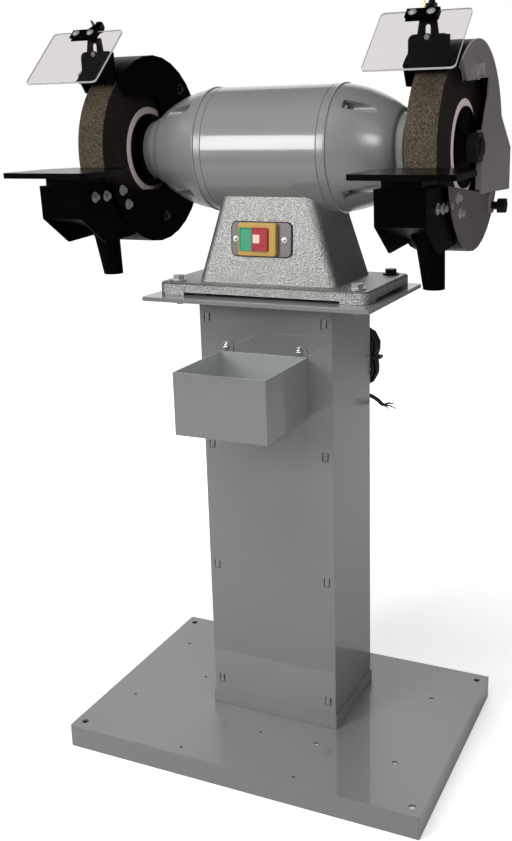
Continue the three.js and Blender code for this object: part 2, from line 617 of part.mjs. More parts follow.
// Grinding wheel with paper blotters between two relieved flanges and a hexagon nut
function buildWheels() {
  for (const [name, side] of sideNames) {
    const bore = shaft.seatRadius + gap;
    const across = (profile, segments) => ring(profile.map(([x, r]) => [side * x, r]), segments);
    const plain = (start, thickness, radius, segments) => across([
      [start, bore], [start, radius], [start + thickness, radius], [start + thickness, bore],
    ], segments);
    const [a, b] = [wheel.centreX - wheel.width / 2, wheel.centreX + wheel.width / 2];
    add(`grinding_wheel_${name}`, across([
      [a, bore], [a, wheel.radius - wheel.chamfer], [a + wheel.chamfer, wheel.radius],
      [b - wheel.chamfer, wheel.radius], [b, wheel.radius - wheel.chamfer], [b, bore],
    ], fine), stone);
    add(`inner_blotter_${name}`, plain(innerBlotterAt, blotter.thickness, blotter.radius, medium), paper);
    add(`outer_blotter_${name}`, plain(outerBlotterAt, blotter.thickness, blotter.radius, medium), paper);

    const innerEnd = innerBlotterAt - gap;
    const innerStart = shaft.shoulderAt + gap;
    add(`inner_flange_${name}`, across([
      [innerStart, bore], [innerStart, flange.hub], [innerEnd - flange.rim, flange.radius],
      [innerEnd, flange.radius], [innerEnd, flange.reliefRadius], [innerEnd - flange.relief, flange.reliefRadius],
      [innerEnd - flange.relief, bore],
    ], medium), blackPaint);
    const outerEnd = outerFlangeAt + flange.outerThickness;
    add(`outer_flange_${name}`, across([
      [outerFlangeAt + flange.relief, bore], [outerFlangeAt + flange.relief, flange.reliefRadius],
      [outerFlangeAt, flange.reliefRadius], [outerFlangeAt, flange.radius],
      [outerFlangeAt + flange.rim, flange.radius], [outerEnd - flange.relief, flange.hub + flange.rim],
      [outerEnd, flange.hub], [outerEnd, bore],
    ], medium), blackPaint);

    const hex = hexagon(axis.y, axis.z, nut.width);
    hex.holes.push(circle(axis.y, axis.z, shaft.threadRadius + gap));
    add(`wheel_nut_${name}`, alongX(hex, side * nutAt, side * (nutAt + nut.height), coarse), steel);
  }
}

const polar = (radius, degrees) => {
  const t = THREE.MathUtils.degToRad(degrees);
  return [axis.y + radius * Math.cos(t), axis.z + radius * Math.sin(t)];
};
const ofGuard = (shares) => outline(shares.map(([y, z]) => [axis.y + y * guard.radius, axis.z + z * guard.radius]));
const lipBack = polar(guard.radius, guard.treadStart)[0] + guard.sheet;
const lipFront = lipBack - guard.sheet;
const sparkBack = lipFront - gap;
const armBack = sparkBack - spark.sheet - gap;
const armFront = armBack - arm.sheet;

// Front sector of the guard where the tread wall is open
function openFront() {
  const far = 2 * guard.radius;
  return outline([[axis.y, axis.z], polar(far, guard.treadStart), polar(far, (guard.treadStart + guard.treadEnd) / 2),
    polar(far, guard.treadEnd)]);
}

// Wheel guard: inner wall with its mouth, tread wall, lower outer wall and the lip for the spark plate
function buildGuards() {
  for (const [name, side] of sideNames) {
    const inner = side * guard.innerAt;
    const outer = side * guardOuter;
    const sheet = side * guard.sheet;
    const past = side * overrun;
    const can = cut(
      turned([[inner, 0], [inner, guard.radius], [outer, guard.radius], [outer, 0]], fine),
      barX(inner + sheet, outer - sheet, guard.radius - guard.sheet, axis.y, axis.z, fine),
      alongX(ofGuard(mouthShares), inner - past, inner + sheet + past),
      alongX(ofGuard(outerOpeningShares), outer - sheet - past, outer + past),
      alongX(openFront(), inner + sheet, outer - sheet),
    );
    const hub = alongX(circle(axis.y, axis.z, guard.hubRadius), inner, inner + sheet, coarse);
    const tabY = axis.y - cover.slotForward;
    const tabZ = axis.z + cover.nutRise;
    const tab = alongX(circle(tabY, tabZ, guard.tabRadius), outer - sheet, outer, few);
    const studX = side * wheel.centreX + arm.centreX;
    const lip = block(side * wheel.centreX - guard.lipWidth / 2, side * wheel.centreX + guard.lipWidth / 2,
      lipFront, lipBack, axis.z + guard.lipBottom, axis.z + guard.lipTop);
    const nutFront = armFront - gap - arm.nutHeight;
    const lipStud = join(
      alongY(circle(studX, studZ, arm.studRadius), nutFront, lipBack, small),
      alongY(hexagon(studX, studZ, arm.nutWidth), nutFront, armFront - gap),
    );
    const nutX = side * (coverOuter + gap);
    const coverStud = join(
      barX(outer - sheet, nutX + side * guard.nutHeight, guard.studRadius, tabY, tabZ),
      alongX(hexagon(tabY, tabZ, guard.nutWidth), nutX, nutX + side * guard.nutHeight),
    );
    const bores = [
      barX(inner - past, inner + sheet + past, bell.boreRadius, axis.y, axis.z, medium),
      barX(outer - sheet - past, outer + past, knob.studRadius + gap,
        axis.y + cover.tabY, axis.z + cover.panBottom - cover.knobDrop),
    ];
    add(`wheel_guard_${name}`, cut(join(can, hub, tab, lip, lipStud, coverStud), bores), blackPaint);
  }
}

// Sheet of the given thickness whose outer skin is a list of (x, y, z) points and faces
function sheetFrom(points, faces, thickness) {
  const count = points.length;
  const positions = [...points, ...points.map(([x, y, z]) => [x - thickness, y, z])].flat();
  const index = [];
  const edges = new Map();
  for (const [a, b, c] of faces) {
    index.push(a, b, c, c + count, b + count, a + count);
    for (const [p, q] of [[a, b], [b, c], [c, a]]) edges.set(`${p},${q}`, [p, q]);
  }
  for (const [p, q] of edges.values()) {
    if (!edges.has(`${q},${p}`)) index.push(p, p + count, q + count, p, q + count, q);
  }
  const geometry = new THREE.BufferGeometry();
  geometry.setAttribute('position', new THREE.Float32BufferAttribute(positions, 3));
  geometry.setIndex(index);
  return geometry;
}

// Outer cover: flat upper band with its slot, and a pan that flares outward at the back
function buildCovers() {
  const creaseZ = guard.radius * cover.creaseBackShare;
  const creaseDegrees = THREE.MathUtils.radToDeg(Math.asin(cover.creaseBackShare));
  const front = axis.y + cover.frontY;
  const back = axis.y + cover.panBackY;
  const flat = new THREE.Path();
  flat.absarc(axis.y, axis.z, guard.radius, THREE.MathUtils.degToRad(cover.lobeStart),
    THREE.MathUtils.degToRad(creaseDegrees), true);
  const rim = flat.getPoints(medium).map((p) => [p.x, p.y]);
  const creaseFront = [front, axis.z + cover.creaseFront];
  const inner = coverInnerShares.map(([y, z]) => [axis.y + y * guard.radius, axis.z + z * guard.radius]);
  const slotLeft = axis.y - cover.slotForward - cover.slotWidth / 2;
  const slotRight = slotLeft + cover.slotWidth;
  const notch = [[slotRight, inner[2][1]], [slotRight, axis.z + cover.slotTop], [slotLeft, axis.z + cover.slotTop],
    [slotLeft, inner[1][1]]];
  const loop = [...rim, creaseFront, inner[4], inner[3], ...notch, inner[0]];
  const flatFaces = THREE.ShapeUtils.triangulateShape(loop.map(([y, z]) => new THREE.Vector2(y, z)), []);
  const pan = [[back, axis.z + cover.panTop], [back, axis.z + cover.panBottom], [front, axis.z + cover.panBottom]];
  const [b, a] = [rim.length - 1, rim.length];
  const [c, d, e] = [0, 1, 2].map((k) => loop.length + k);
  const plan = [...loop, ...pan];
  const facing = ([p, q, r]) => {
    const area = (plan[q][0] - plan[p][0]) * (plan[r][1] - plan[p][1])
      - (plan[r][0] - plan[p][0]) * (plan[q][1] - plan[p][1]);
    return area > 0 ? [p, q, r] : [p, r, q];
  };
  const faces = [...flatFaces, [a, b, c], [a, c, d], [a, d, e]].map(facing);
  const lowZ = axis.z + cover.panBottom;

  for (const [name, side] of sideNames) {
    const face = side * coverOuter;
    const flared = face + side * cover.flare;
    const points = [
      ...loop.map(([y, z]) => [face, y, z]),
      [flared, ...pan[0]], [flared, ...pan[1]], [face, ...pan[2]],
    ];
    const skin = sheetFrom(points, side > 0 ? faces : faces.map(([p, q, r]) => [p, r, q]), side * cover.sheet);
    const inside = face - side * cover.sheet;
    const floor = alongZ(outline([[inside, front], [face, front], [flared, back], [inside, back]]), lowZ,
      lowZ + cover.sheet);
    const rear = alongY(outline([
      [inside, axis.z + creaseZ], [face, axis.z + creaseZ], [flared, axis.z + cover.panTop], [flared, lowZ],
      [inside, lowZ],
    ]), back - cover.sheet, back);
    const fold = block(face - side * cover.foldDepth, face, front, front + cover.sheet,
      lowZ + 2 * cover.sheet, creaseFront[1]);
    const tabTop = lowZ + cover.sheet;
    const tabY = axis.y + cover.tabY;
    const tab = alongX(rounded(tabY - cover.tabWidth / 2, tabTop - cover.tabDrop, tabY + cover.tabWidth / 2, tabTop,
      cover.sheet), inside, face, tiny);
    const hole = barX(face + side * overrun, inside - side * overrun, cover.tabHoleRadius, tabY, lowZ - cover.knobDrop);
    add(`guard_cover_${name}`, cut(join(skin, floor, rear, fold, tab), hole), coverPaint);

    const seat = side * (coverOuter + gap);
    const lobes = new THREE.Shape(Array.from({ length: 6 * knob.lobes }, (_, i) => {
      const t = (2 * Math.PI * i) / (6 * knob.lobes);
      const r = knob.radius - knob.lobeDepth * (1 - Math.cos(knob.lobes * t)) / 2;
      return new THREE.Vector2(tabY + r * Math.cos(t), lowZ - cover.knobDrop + r * Math.sin(t));
    }));
    const grip = seat + side * knob.stemLength;
    add(`cover_knob_${name}`, join(
      barX(seat, grip, knob.stemRadius, tabY, lowZ - cover.knobDrop),
      alongX(lobes, grip, grip + side * knob.height),
      barX(side * (guardOuter - 2 * guard.sheet), grip, knob.studRadius, tabY, lowZ - cover.knobDrop),
    ), blackPaint);
  }
}

// Sheet hopper in front of the guard: two cheeks that reach under the tread wall, a slotted top, a front
// wall and a floor between them, and the flared spout under the floor
function buildHoppers() {
  const h = hopper;
  const y = (value) => axis.y + value;
  const z = (value) => axis.z + value;
  const front = [[y(h.frontY), z(h.frontTop)], [y(h.frontBottomY), z(h.frontBottom)]];
  const back = [[y(h.backY), z(h.backTop)], [y(h.topBackY), z(h.frontTop)]];
  const cheek = outline([...front, [y(h.tipY), z(h.tip)], [y(h.heelY), z(h.heel)], ...back]);
  const outer = outline([...front, [y(h.heelY), z(h.floorBack)], ...back]);
  const inner = outline([
    [y(h.frontY) + h.sheet, z(h.frontTop) - h.sheet], [y(h.frontBottomY) + h.sheet, z(h.frontBottom) + h.sheet],
    [y(h.heelY), z(h.floorBack) + h.sheet], [y(h.heelY), z(h.frontTop) - h.sheet],
  ]);
  for (const [name, side] of sideNames) {
    const x = side * wheel.centreX;
    const spoutLoft = (inset, extra) => loft([
      roundRing(x + spout.bottomX, y(spout.bottomY), spout.bottomRadius - inset, z(-spout.bottomDrop) - extra),
      roundRing(x + spout.topX, y(spout.topY), spout.topRadius - inset, z(-spout.topDrop)),
      roundRing(x + spout.flareX, y(spout.topY), spout.flareRadius - inset, z(-spout.flareDrop) + extra),
    ]);
    const slots = [-1, 1].map((k) => alongZ(
      slot(x + k * rest.studX, y(rest.studY) - rest.travelOut - h.slotWidth / 2,
        y(rest.studY) + rest.travelIn + h.slotWidth / 2, h.slotWidth),
      z(h.frontTop) - h.sheet - overrun, z(h.frontTop) + overrun, tiny,
    ));
    const [left, right] = [x - h.halfWidth, x + h.halfWidth];
    const cheeks = [alongX(cheek, left, left + h.sheet), alongX(cheek, right - h.sheet, right)];
    const hollow = alongX(inner, left + h.sheet, right - h.sheet);
    const treadRadius = guard.radius + gap;
    const tread = cut(
      barX(left - overrun, right + overrun, treadRadius, axis.y, axis.z, fine),
      block(left - 2 * overrun, right + 2 * overrun, axis.y - 2 * treadRadius, axis.y + 2 * treadRadius,
        z(h.backTop), axis.z + 2 * treadRadius),
    );
    const tray = cut(join(alongX(outer, left, right), spoutLoft(0, 0)), hollow);
    const body = cut(join(tray, cheeks), spoutLoft(spout.wall, overrun), slots, tread);
    add(`dust_hopper_${name}`, body, blackPaint);
  }
}

// Tool rest with its riser, two studs through the hopper's slots and their nuts
function buildRests() {
  const restTop = hopper.frontTop + gap + rest.riserHeight + rest.thickness;
  const low = axis.z + restTop - rest.thickness;
  const backY = axis.y - Math.sqrt(wheel.radius ** 2 - restTop ** 2) - rest.clearance;
  const front = axis.y + rest.frontY;
  for (const [name, side] of sideNames) {
    const x = side * wheel.centreX;
    const r = rest.cornerRadius;
    const plate = new THREE.Shape();
    plate.absarc(x + rest.left + r, front + r, r, Math.PI, 1.5 * Math.PI);
    plate.absarc(x + rest.right - r / 2, front + r / 2, r / 2, -Math.PI / 2, 0);
    plate.lineTo(x + rest.right, backY - rest.chamferY);
    plate.lineTo(x + rest.right - rest.chamferX, backY);
    plate.lineTo(x + rest.left + rest.chamferX, backY);
    plate.lineTo(x + rest.left, backY - rest.chamferY);
    const riser = block(x - rest.riserHalfWidth, x + rest.riserHalfWidth, axis.y + rest.riserFrontY,
      axis.y + rest.riserBackY, low - rest.riserHeight, low);
    const nutTop = axis.z + hopper.frontTop - hopper.sheet - gap;
    const studs = [-1, 1].flatMap((k) => [
      alongZ(circle(x + k * rest.studX, axis.y + rest.studY, rest.studRadius), nutTop - rest.nutHeight - rest.travelIn,
        low, small),
      alongZ(hexagon(x + k * rest.studX, axis.y + rest.studY, rest.nutWidth), nutTop - rest.nutHeight, nutTop),
    ]);
    add(`tool_rest_${name}`, join(alongZ(plate, low, low + rest.thickness, small), riser, studs), blackPaint);
  }
}

// Adjustable spark plate with a slot that is open at its top edge
function buildSparkPlates() {
  for (const [name, side] of sideNames) {
    const x = side * wheel.centreX;
    const z0 = axis.z + spark.bottom;
    const z1 = axis.z + spark.top;
    const plate = join(
      alongY(rounded(x + spark.left, z0, x + spark.right, z1, spark.cornerRadius), sparkBack - spark.sheet,
        sparkBack, tiny),
      block(x + spark.left, x + spark.right, sparkBack - spark.sheet, sparkBack, z0, z0 + 2 * spark.cornerRadius),
    );
    const opening = slot(x + arm.centreX, studZ - spark.travelUp - spark.slotWidth / 2, z1 + overrun + spark.slotWidth,
      spark.slotWidth + 2 * gap);
    add(`spark_plate_${name}`, cut(plate, alongY(opening, sparkBack - spark.sheet - overrun, sparkBack + overrun, tiny)),
      blackPaint);
  }
}

// Slotted arm with a bent ear, the shield's clamp with its ear, and the wing screw through both
function buildShieldArms() {
  const toRadians = THREE.MathUtils.degToRad;
  const slope = toRadians(shield.slope);
  const up = [Math.cos(slope), Math.sin(slope)];
  const out = [-up[1], up[0]];
  const pivot = [axis.y + arm.pivotY, axis.z + arm.pivotZ];
  const top = [axis.y + shield.topY, axis.z + shield.topZ];
  const along = (s, n) => [top[0] + s * up[0] + n * out[0], top[1] + s * up[1] + n * out[1]];
  for (const [name, side] of sideNames) {
    const centre = side * wheel.centreX;
    const x = centre + arm.centreX;
    const [z0, z1] = [axis.z + arm.bottom, axis.z + arm.top];
    const plate = outline([[x - arm.bottomWidth / 2, z0], [x + arm.bottomWidth / 2, z0],
      [x + arm.topWidth / 2, z1], [x - arm.topWidth / 2, z1]]);
    const earShape = new THREE.Shape();
    earShape.absarc(pivot[0], pivot[1], arm.earRadius, toRadians(arm.earFrom), toRadians(arm.earTo));
    earShape.lineTo(armFront, z1 + arm.ear);
    earShape.lineTo(armFront, axis.z + arm.earFootLow);
    const pin = (radius) => barX(x - overrun * 3, x + overrun * 3, radius, pivot[0], pivot[1]);
    const body = join(alongY(plate, armFront, armBack), alongX(earShape, x - arm.ear - gap / 2, x - gap / 2, small));
    const opening = slot(x, studZ - arm.slotWidth / 2, studZ + arm.travel + arm.slotWidth / 2, arm.slotWidth);
    add(`shield_arm_${name}`, cut(body, alongY(opening, armFront - overrun, armBack + gap, tiny),
      pin(arm.pivotHoleRadius)), blackPaint);

    const half = shield.thickness / 2 + gap;
    const web = gap + clamp.sheet;
    const channel = outline([along(-clamp.overlap, half), along(gap, half), along(gap, -half),
      along(-clamp.overlap, -half), along(-clamp.overlap, -half - clamp.sheet), along(web, -half - clamp.sheet),
      along(web, half + clamp.sheet), along(-clamp.overlap, half + clamp.sheet)]);
    const clampEar = new THREE.Shape();
    clampEar.absarc(pivot[0], pivot[1], arm.earRadius, toRadians(arm.clampEarFrom), toRadians(arm.clampEarTo));
    clampEar.lineTo(...along(gap + clamp.sheet / 2, half + clamp.sheet / 2));
    clampEar.lineTo(...along(gap + clamp.sheet / 2, -half - clamp.sheet / 2));
    const screws = [-1, 1].flatMap((k) => {
      const at = centre + (clamp.left + clamp.right) / 2 + k * clamp.screwX;
      const shank = new THREE.CylinderGeometry(clamp.screwRadius, clamp.screwRadius, 2 * (half + clamp.sheet / 2), few);
      const head = new THREE.CylinderGeometry(clamp.headRadius, clamp.headRadius, clamp.head + clamp.sheet, coarse)
        .translate(0, half + clamp.sheet / 2 + clamp.head / 2, 0);
      const [y, z] = along(-clamp.overlap / 2, 0);
      return [shank, head].map((g) => g.rotateX(slope + Math.PI / 2).translate(at, y, z));
    });
    add(`shield_clamp_${name}`, cut(
      join(alongX(channel, centre + clamp.left, centre + clamp.right),
        alongX(clampEar, x + gap / 2, x + gap / 2 + arm.ear, small), screws),
      pin(arm.pivotHoleRadius),
    ), blackPaint);

    const pane = rounded(-shield.width / 2, -shield.height, shield.width / 2, 0, shield.cornerRadius);
    for (const k of [-1, 1]) {
      pane.holes.push(circle((clamp.left + clamp.right) / 2 - shield.centreX + k * clamp.screwX,
        -clamp.overlap / 2, shield.holeRadius));
    }
    add(`eye_shield_${name}`, extrude(pane, shield.thickness, small).translate(0, 0, -shield.thickness / 2)
      .rotateX(slope).translate(centre + shield.centreX, top[0], top[1]), clear);

    const wingFace = x - gap / 2 - arm.ear - gap;
    const w = wing;
    const blades = outline([
      [wingFace, pivot[1] - w.hubRadius], [wingFace - w.hubLength, pivot[1] - w.hubRadius],
      [wingFace - w.reach, pivot[1] - w.span], [wingFace - w.reach - w.thickness, pivot[1] - w.span],
      [wingFace - w.hubLength - w.thickness, pivot[1]], [wingFace - w.reach - w.thickness, pivot[1] + w.span],
      [wingFace - w.reach, pivot[1] + w.span], [wingFace - w.hubLength, pivot[1] + w.hubRadius],
      [wingFace, pivot[1] + w.hubRadius],
    ]);
    const headFace = x + gap / 2 + arm.ear + gap;
    add(`wing_screw_${name}`, join(
      alongY(blades, pivot[0] - w.thickness / 2, pivot[0] + w.thickness / 2),
      barX(wingFace - w.hubLength, wingFace, w.hubRadius, pivot[0], pivot[1]),
      barX(wingFace - w.hubLength, headFace + w.head, arm.pivotRadius, pivot[0], pivot[1]),
      alongX(hexagon(pivot[0], pivot[1], w.headWidth), headFace, headFace + w.head),
    ), steel);
  }
}

// Hank: one cord that spirals in, climbs a layer and spirals out, drawn in at its waist
const pitch = cord.diameter + cord.clear;
const bulge = Math.acos(Math.sqrt(1 / (3 * hank.waistShare)));
const hankStart = Math.PI - bulge;
const hankSweep = 2 * Math.PI * 2 * hank.turns + 2 * bulge;

function hankPoint(t) {
  const angle = hankStart + t * hankSweep;
  const [c, s] = [Math.cos(angle), Math.sin(angle)];
  const turn = (t - 0.5) * hankSweep / (2 * Math.PI);
  const offset = pitch * Math.min(Math.abs(turn), hank.turns + bulge / Math.PI);
  const core = [hank.halfWidth * c * (1 - hank.waistShare * c * c), hank.halfHeight * s];
  const slope = [-hank.halfWidth * s * (1 - 3 * hank.waistShare * c * c), hank.halfHeight * c];
  const length = Math.hypot(slope[0], slope[1]);
  const climb = THREE.MathUtils.clamp(turn / 0.5 + 0.5, 0, 1);
  return new THREE.Vector3(
    hank.x + core[0] + (offset * slope[1]) / length,
    hank.y + pitch * climb,
    hank.z + core[1] - (offset * slope[0]) / length,
  );
}

function hankPath() {
  const steps = Math.round((hankSweep / (2 * Math.PI)) * hank.stepsPerLoop);
  const points = Array.from({ length: steps + 1 }, (_, i) => hankPoint(i / steps));
  const rise = new THREE.Vector3(0, 0, cord.diameter);
  return [points[0].clone().add(rise), ...points, points[steps].clone().sub(rise)];
}

// Six-sided tube through points, with square ends
function tube(points, radius, sides) {
  const across = new THREE.Vector3(0, 1, 0);
  const positions = points.flatMap((point, i) => {
    const before = points[Math.max(i - 1, 0)];
    const after = points[Math.min(i + 1, points.length - 1)];
    const ahead = i === 0 || i === points.length - 1 ? new THREE.Vector3(0, 0, 1) : after.clone().sub(before);
    const side = across.clone().cross(ahead).normalize();
    const third = ahead.clone().cross(side).normalize();
    const flip = i === 0 || i === points.length - 1 ? -1 : 1;
    return Array.from({ length: sides }, (_, k) => {
      const t = (2 * Math.PI * k) / sides;
      return point.clone().addScaledVector(side, flip * radius * Math.cos(t))
        .addScaledVector(third, radius * Math.sin(t)).toArray();
    }).flat();
  });
  const index = [];
  for (let i = 0; i + 1 < points.length; i += 1) {
    for (let k = 0; k < sides; k += 1) {
      const [a, b] = [i * sides + k, i * sides + ((k + 1) % sides)];
      index.push(a, b, b + sides, a, b + sides, a + sides);
    }
  }
  const last = (points.length - 1) * sides;
  for (let k = 1; k + 1 < sides; k += 1) index.push(0, k + 1, k, last, last + k, last + k + 1);
  const geometry = new THREE.BufferGeometry();
  geometry.setAttribute('position', new THREE.Float32BufferAttribute(positions, 3));
  geometry.setIndex(index);
  return geometry;
}

// Least gap of the hank to itself, on points along its middle line
function hankGap() {
  const count = 1200;
  const points = Array.from({ length: count }, (_, i) => hankPoint(i / (count - 1)));
  const skip = Math.ceil(count / (hankSweep / Math.PI)) / 2;
  let least = Infinity;
  for (let i = 0; i < count; i += 1) {
    for (let j = i + Math.ceil(skip); j < count; j += 1) least = Math.min(least, points[i].distanceTo(points[j]));
  }
  return least - cord.diameter;
}

function cordRun(name, points) {
  const route = new THREE.CatmullRomCurve3(points.map((p) => new THREE.Vector3(...p)), false, 'centripetal');
  const section = new THREE.Shape(Array.from({ length: cord.sides }, (_, k) => {
    const t = (2 * Math.PI * (k + 0.5)) / cord.sides;
    return new THREE.Vector2((cord.diameter / 2) * Math.cos(t), (cord.diameter / 2) * Math.sin(t));
  }));
  const steps = Math.round(route.getLength() / (2 * cord.diameter));
  add(name, new THREE.ExtrudeGeometry(section, { steps, bevelEnabled: false, extrudePath: route }), rubber);
}

function buildCord() {
  const path = hankPath();
  const [start, end] = [path[0], path[path.length - 1]];
  const glandZ = flangeTop + gland.rise;
  cordRun('power_cord', [
    [gland.x, glandEnd + gap, glandZ], [gland.x, glandEnd + gap + cord.diameter, glandZ], [60.5, 171, 901],
    [61, 184, 888], [61.5, 189, 868], [62, 189, 846], [63, 184, 822], [64.5, 174, 798], [66, 163, 777],
    [start.x, start.y + cord.diameter / 4, start.z + 3 * cord.diameter], [start.x, start.y, start.z + cord.diameter + gap],
    [start.x, start.y, start.z + gap],
  ]);
  add('cord_hank', tube(path, cord.diameter / 2, hank.sides), rubber);
  cordRun('cord_tail', [
    [end.x, end.y, end.z - gap], [end.x, end.y, end.z - gap - cord.diameter], [69, 160.6, 652], [80, 160, 638],
    [98, 159, 633], [117, 158, 631], [131, 158, 624], [142, 158, 615],
  ]);
  console.log(`least gap between the hank's turns: ${hankGap().toFixed(2)} mm`);

  const waist = hank.halfWidth * (1 - hank.waistShare);
  const reach = cord.diameter / 2 + gap;
  const outerTurns = pitch * (hank.turns + bulge / Math.PI);
  const [left, right] = [hank.x - waist - outerTurns - reach, hank.x + waist + outerTurns + reach];
  const [near, far] = [hank.y - reach, hank.y + pitch + reach];
  const edge = hank.tieBand;
  const tie = rounded(left - edge, near - edge, right + edge, far + edge, edge);
  const [low, high] = [hank.z - hank.tieHeight / 2, hank.z + hank.tieHeight / 2];
  const passage = block(left, right, near, far, low - overrun, high + overrun);
  add('cord_tie', cut(alongZ(tie, low, high, tiny), passage), rubber);
}

buildBase();
buildColumn();
buildTopPlate();
buildPot();
buildFoot();
buildFootBolts();
buildSwitch();
buildMotor();
buildBells();
buildWheels();
buildGuards();
buildCovers();
buildHoppers();
buildRests();
buildSparkPlates();
buildShieldArms();
buildGland();
buildCord();

const spanX = [-(coverOuter + gap + knob.stemLength + knob.height), wheel.centreX + rest.right];
const spanY = [axis.y + rest.frontY, base.depth / 2];
grinder.position.set(-(spanX[0] + spanX[1]) / 2, -(spanY[0] + spanY[1]) / 2, 0);

export default grinder;
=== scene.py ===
import bpy
import math
from mathutils import Matrix, Vector


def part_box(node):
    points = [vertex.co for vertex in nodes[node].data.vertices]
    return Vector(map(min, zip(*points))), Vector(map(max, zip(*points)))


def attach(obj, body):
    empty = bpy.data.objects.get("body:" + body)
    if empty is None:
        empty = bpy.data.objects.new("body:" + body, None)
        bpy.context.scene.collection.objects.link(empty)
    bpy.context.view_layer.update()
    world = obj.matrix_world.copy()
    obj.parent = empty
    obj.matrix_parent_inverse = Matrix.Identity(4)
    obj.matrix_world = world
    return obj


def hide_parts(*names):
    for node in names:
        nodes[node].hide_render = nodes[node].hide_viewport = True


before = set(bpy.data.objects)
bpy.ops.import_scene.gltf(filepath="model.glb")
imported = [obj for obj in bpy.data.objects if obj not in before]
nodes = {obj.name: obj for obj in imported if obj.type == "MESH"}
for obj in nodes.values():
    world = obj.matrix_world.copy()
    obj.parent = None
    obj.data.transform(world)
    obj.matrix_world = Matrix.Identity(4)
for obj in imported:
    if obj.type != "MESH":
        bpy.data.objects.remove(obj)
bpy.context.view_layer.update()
scene = bpy.context.scene
scene.view_settings.view_transform = "Standard"

# Camera: in front of the right wheel at shaft height, looking down along the column, with the
# slight roll of a camera levelled by hand.
lens = bpy.data.cameras.new("studio_camera")
lens.lens = 43.92
lens.sensor_width = 36
lens.shift_x = -0.0374
lens.shift_y = -0.0334
lens.clip_start = 0.05
lens.clip_end = 60
camera = bpy.data.objects.new("studio_camera", lens)
scene.collection.objects.link(camera)
yaw, pitch, roll = math.radians(24.72), math.radians(-15.17), math.radians(-1.29)
ahead = Vector((-math.sin(yaw) * math.cos(pitch), math.cos(yaw) * math.cos(pitch), math.sin(pitch)))
level = Vector((math.cos(yaw), math.sin(yaw), 0))
above = level.cross(ahead)
across = level * math.cos(roll) + above * math.sin(roll)
upward = above * math.cos(roll) - level * math.sin(roll)
turn = Matrix((across, upward, -ahead)).transposed().to_4x4()
camera_spot = (0.74452, -1.58714, 1.14891)
camera.matrix_world = Matrix.Translation(camera_spot) @ turn
scene.camera = camera


# Supply cord: an 8 mm rubber-sheathed lead that leaves the gland at the back of the foot, is wound
# into a hank behind the column and ends in a short tail. It is one curve along its real route.
stand_shift = Vector((-0.0139, 0.0235, 0))
cord_radius = 0.004
lead_points = [(60, 149.4, 904.8), (60, 157.4, 904.8), (60.5, 171, 901), (61, 184, 888), (61.5, 189, 868),
               (62, 189, 846), (63, 184, 822), (64.5, 174, 798), (66, 163, 777)]
tail_points = [(69, 160.6, 652), (80, 160, 638), (98, 159, 633), (117, 158, 631), (131, 158, 624),
               (142, 158, 615)]
hank_centre, hank_half, hank_waist, hank_turns, hank_pitch = (101.6, 152, 708), (20, 30), 0.775, 3, 8.6
bulge = math.acos(math.sqrt(1 / (3 * hank_waist)))
sweep = 4 * math.pi * hank_turns + 2 * bulge


def hank_point(share):
    """Point of the hank, which spirals in, climbs one layer and spirals out again."""
    angle = math.pi - bulge + share * sweep
    c, s = math.cos(angle), math.sin(angle)
    loop = (share - 0.5) * sweep / (2 * math.pi)
    offset = hank_pitch * min(abs(loop), hank_turns + bulge / math.pi)
    slope = (-hank_half[0] * s * (1 - 3 * hank_waist * c * c), hank_half[1] * c)
    run = math.hypot(*slope)
    climb = min(max(2 * loop + 0.5, 0), 1)
    return (hank_centre[0] + hank_half[0] * c * (1 - hank_waist * c * c) + offset * slope[1] / run,
            hank_centre[1] + hank_pitch * climb,
            hank_centre[2] + hank_half[1] * s - offset * slope[0] / run)


def smooth_route(points, steps):
    """Centripetal Catmull-Rom line through the points."""
    points = [Vector(p) for p in points]
    line = [points[0] * 2 - points[1], *points, points[-1] * 2 - points[-2]]
    made = []
    for a, b, c, d in zip(line, line[1:], line[2:], line[3:]):
        k = [0.0]
        for p, q in ((a, b), (b, c), (c, d)):
            k.append(k[-1] + math.sqrt((q - p).length))
        for i in range(steps):
            t = k[1] + (k[2] - k[1]) * i / steps
            ab = a.lerp(b, (t - k[0]) / (k[1] - k[0]))
            bc = b.lerp(c, (t - k[1]) / (k[2] - k[1]))
            cd = c.lerp(d, (t - k[2]) / (k[3] - k[2]))
            abc = ab.lerp(bc, (t - k[0]) / (k[2] - k[0]))
            bcd = bc.lerp(cd, (t - k[1]) / (k[3] - k[1]))
            made.append(abc.lerp(bcd, (t - k[1]) / (k[2] - k[1])))
    return [*made, points[-1]]


hank_steps = 7 * 24
wound = [hank_point(i / hank_steps) for i in range(hank_steps + 1)]
start, end = Vector(wound[0]), Vector(wound[-1])
drop = [start + Vector(p) for p in ((0, 2, 32), (0, 0, 16), (0, 0, 8))]
lead = smooth_route([*lead_points, *drop], 5)
tail = smooth_route([end - Vector((0, 0, 8)), end - Vector((0, 0, 16)), *tail_points], 5)
cord_line = [Vector(p) / 1000 + stand_shift for p in (*lead, *wound, *tail)]


def wire(name, line, radius, resolution):
    """A round wire or lead along a line of points."""
    data = bpy.data.curves.new(name, "CURVE")
    data.dimensions = "3D"
    data.bevel_depth = radius
    data.bevel_resolution = resolution
    data.use_fill_caps = True
    spline = data.splines.new("POLY")
    spline.points.add(len(line) - 1)
    for point, at in zip(spline.points, line):
        point.co = (*at, 1)
    spline.use_smooth = True
    piece = bpy.data.objects.new(name, data)
    scene.collection.objects.link(piece)
    return piece


def node_in(tree, kind, inputs=None, **settings):
    """Adds a shader node; an input is a value or another node's output."""
    made = tree.nodes.new(kind)
    for key, value in settings.items():
        setattr(made, key, value)
    for key, value in (inputs or {}).items():
        if isinstance(value, bpy.types.NodeSocket):
            tree.links.new(value, made.inputs[key])
        else:
            made.inputs[key].default_value = value
    return made


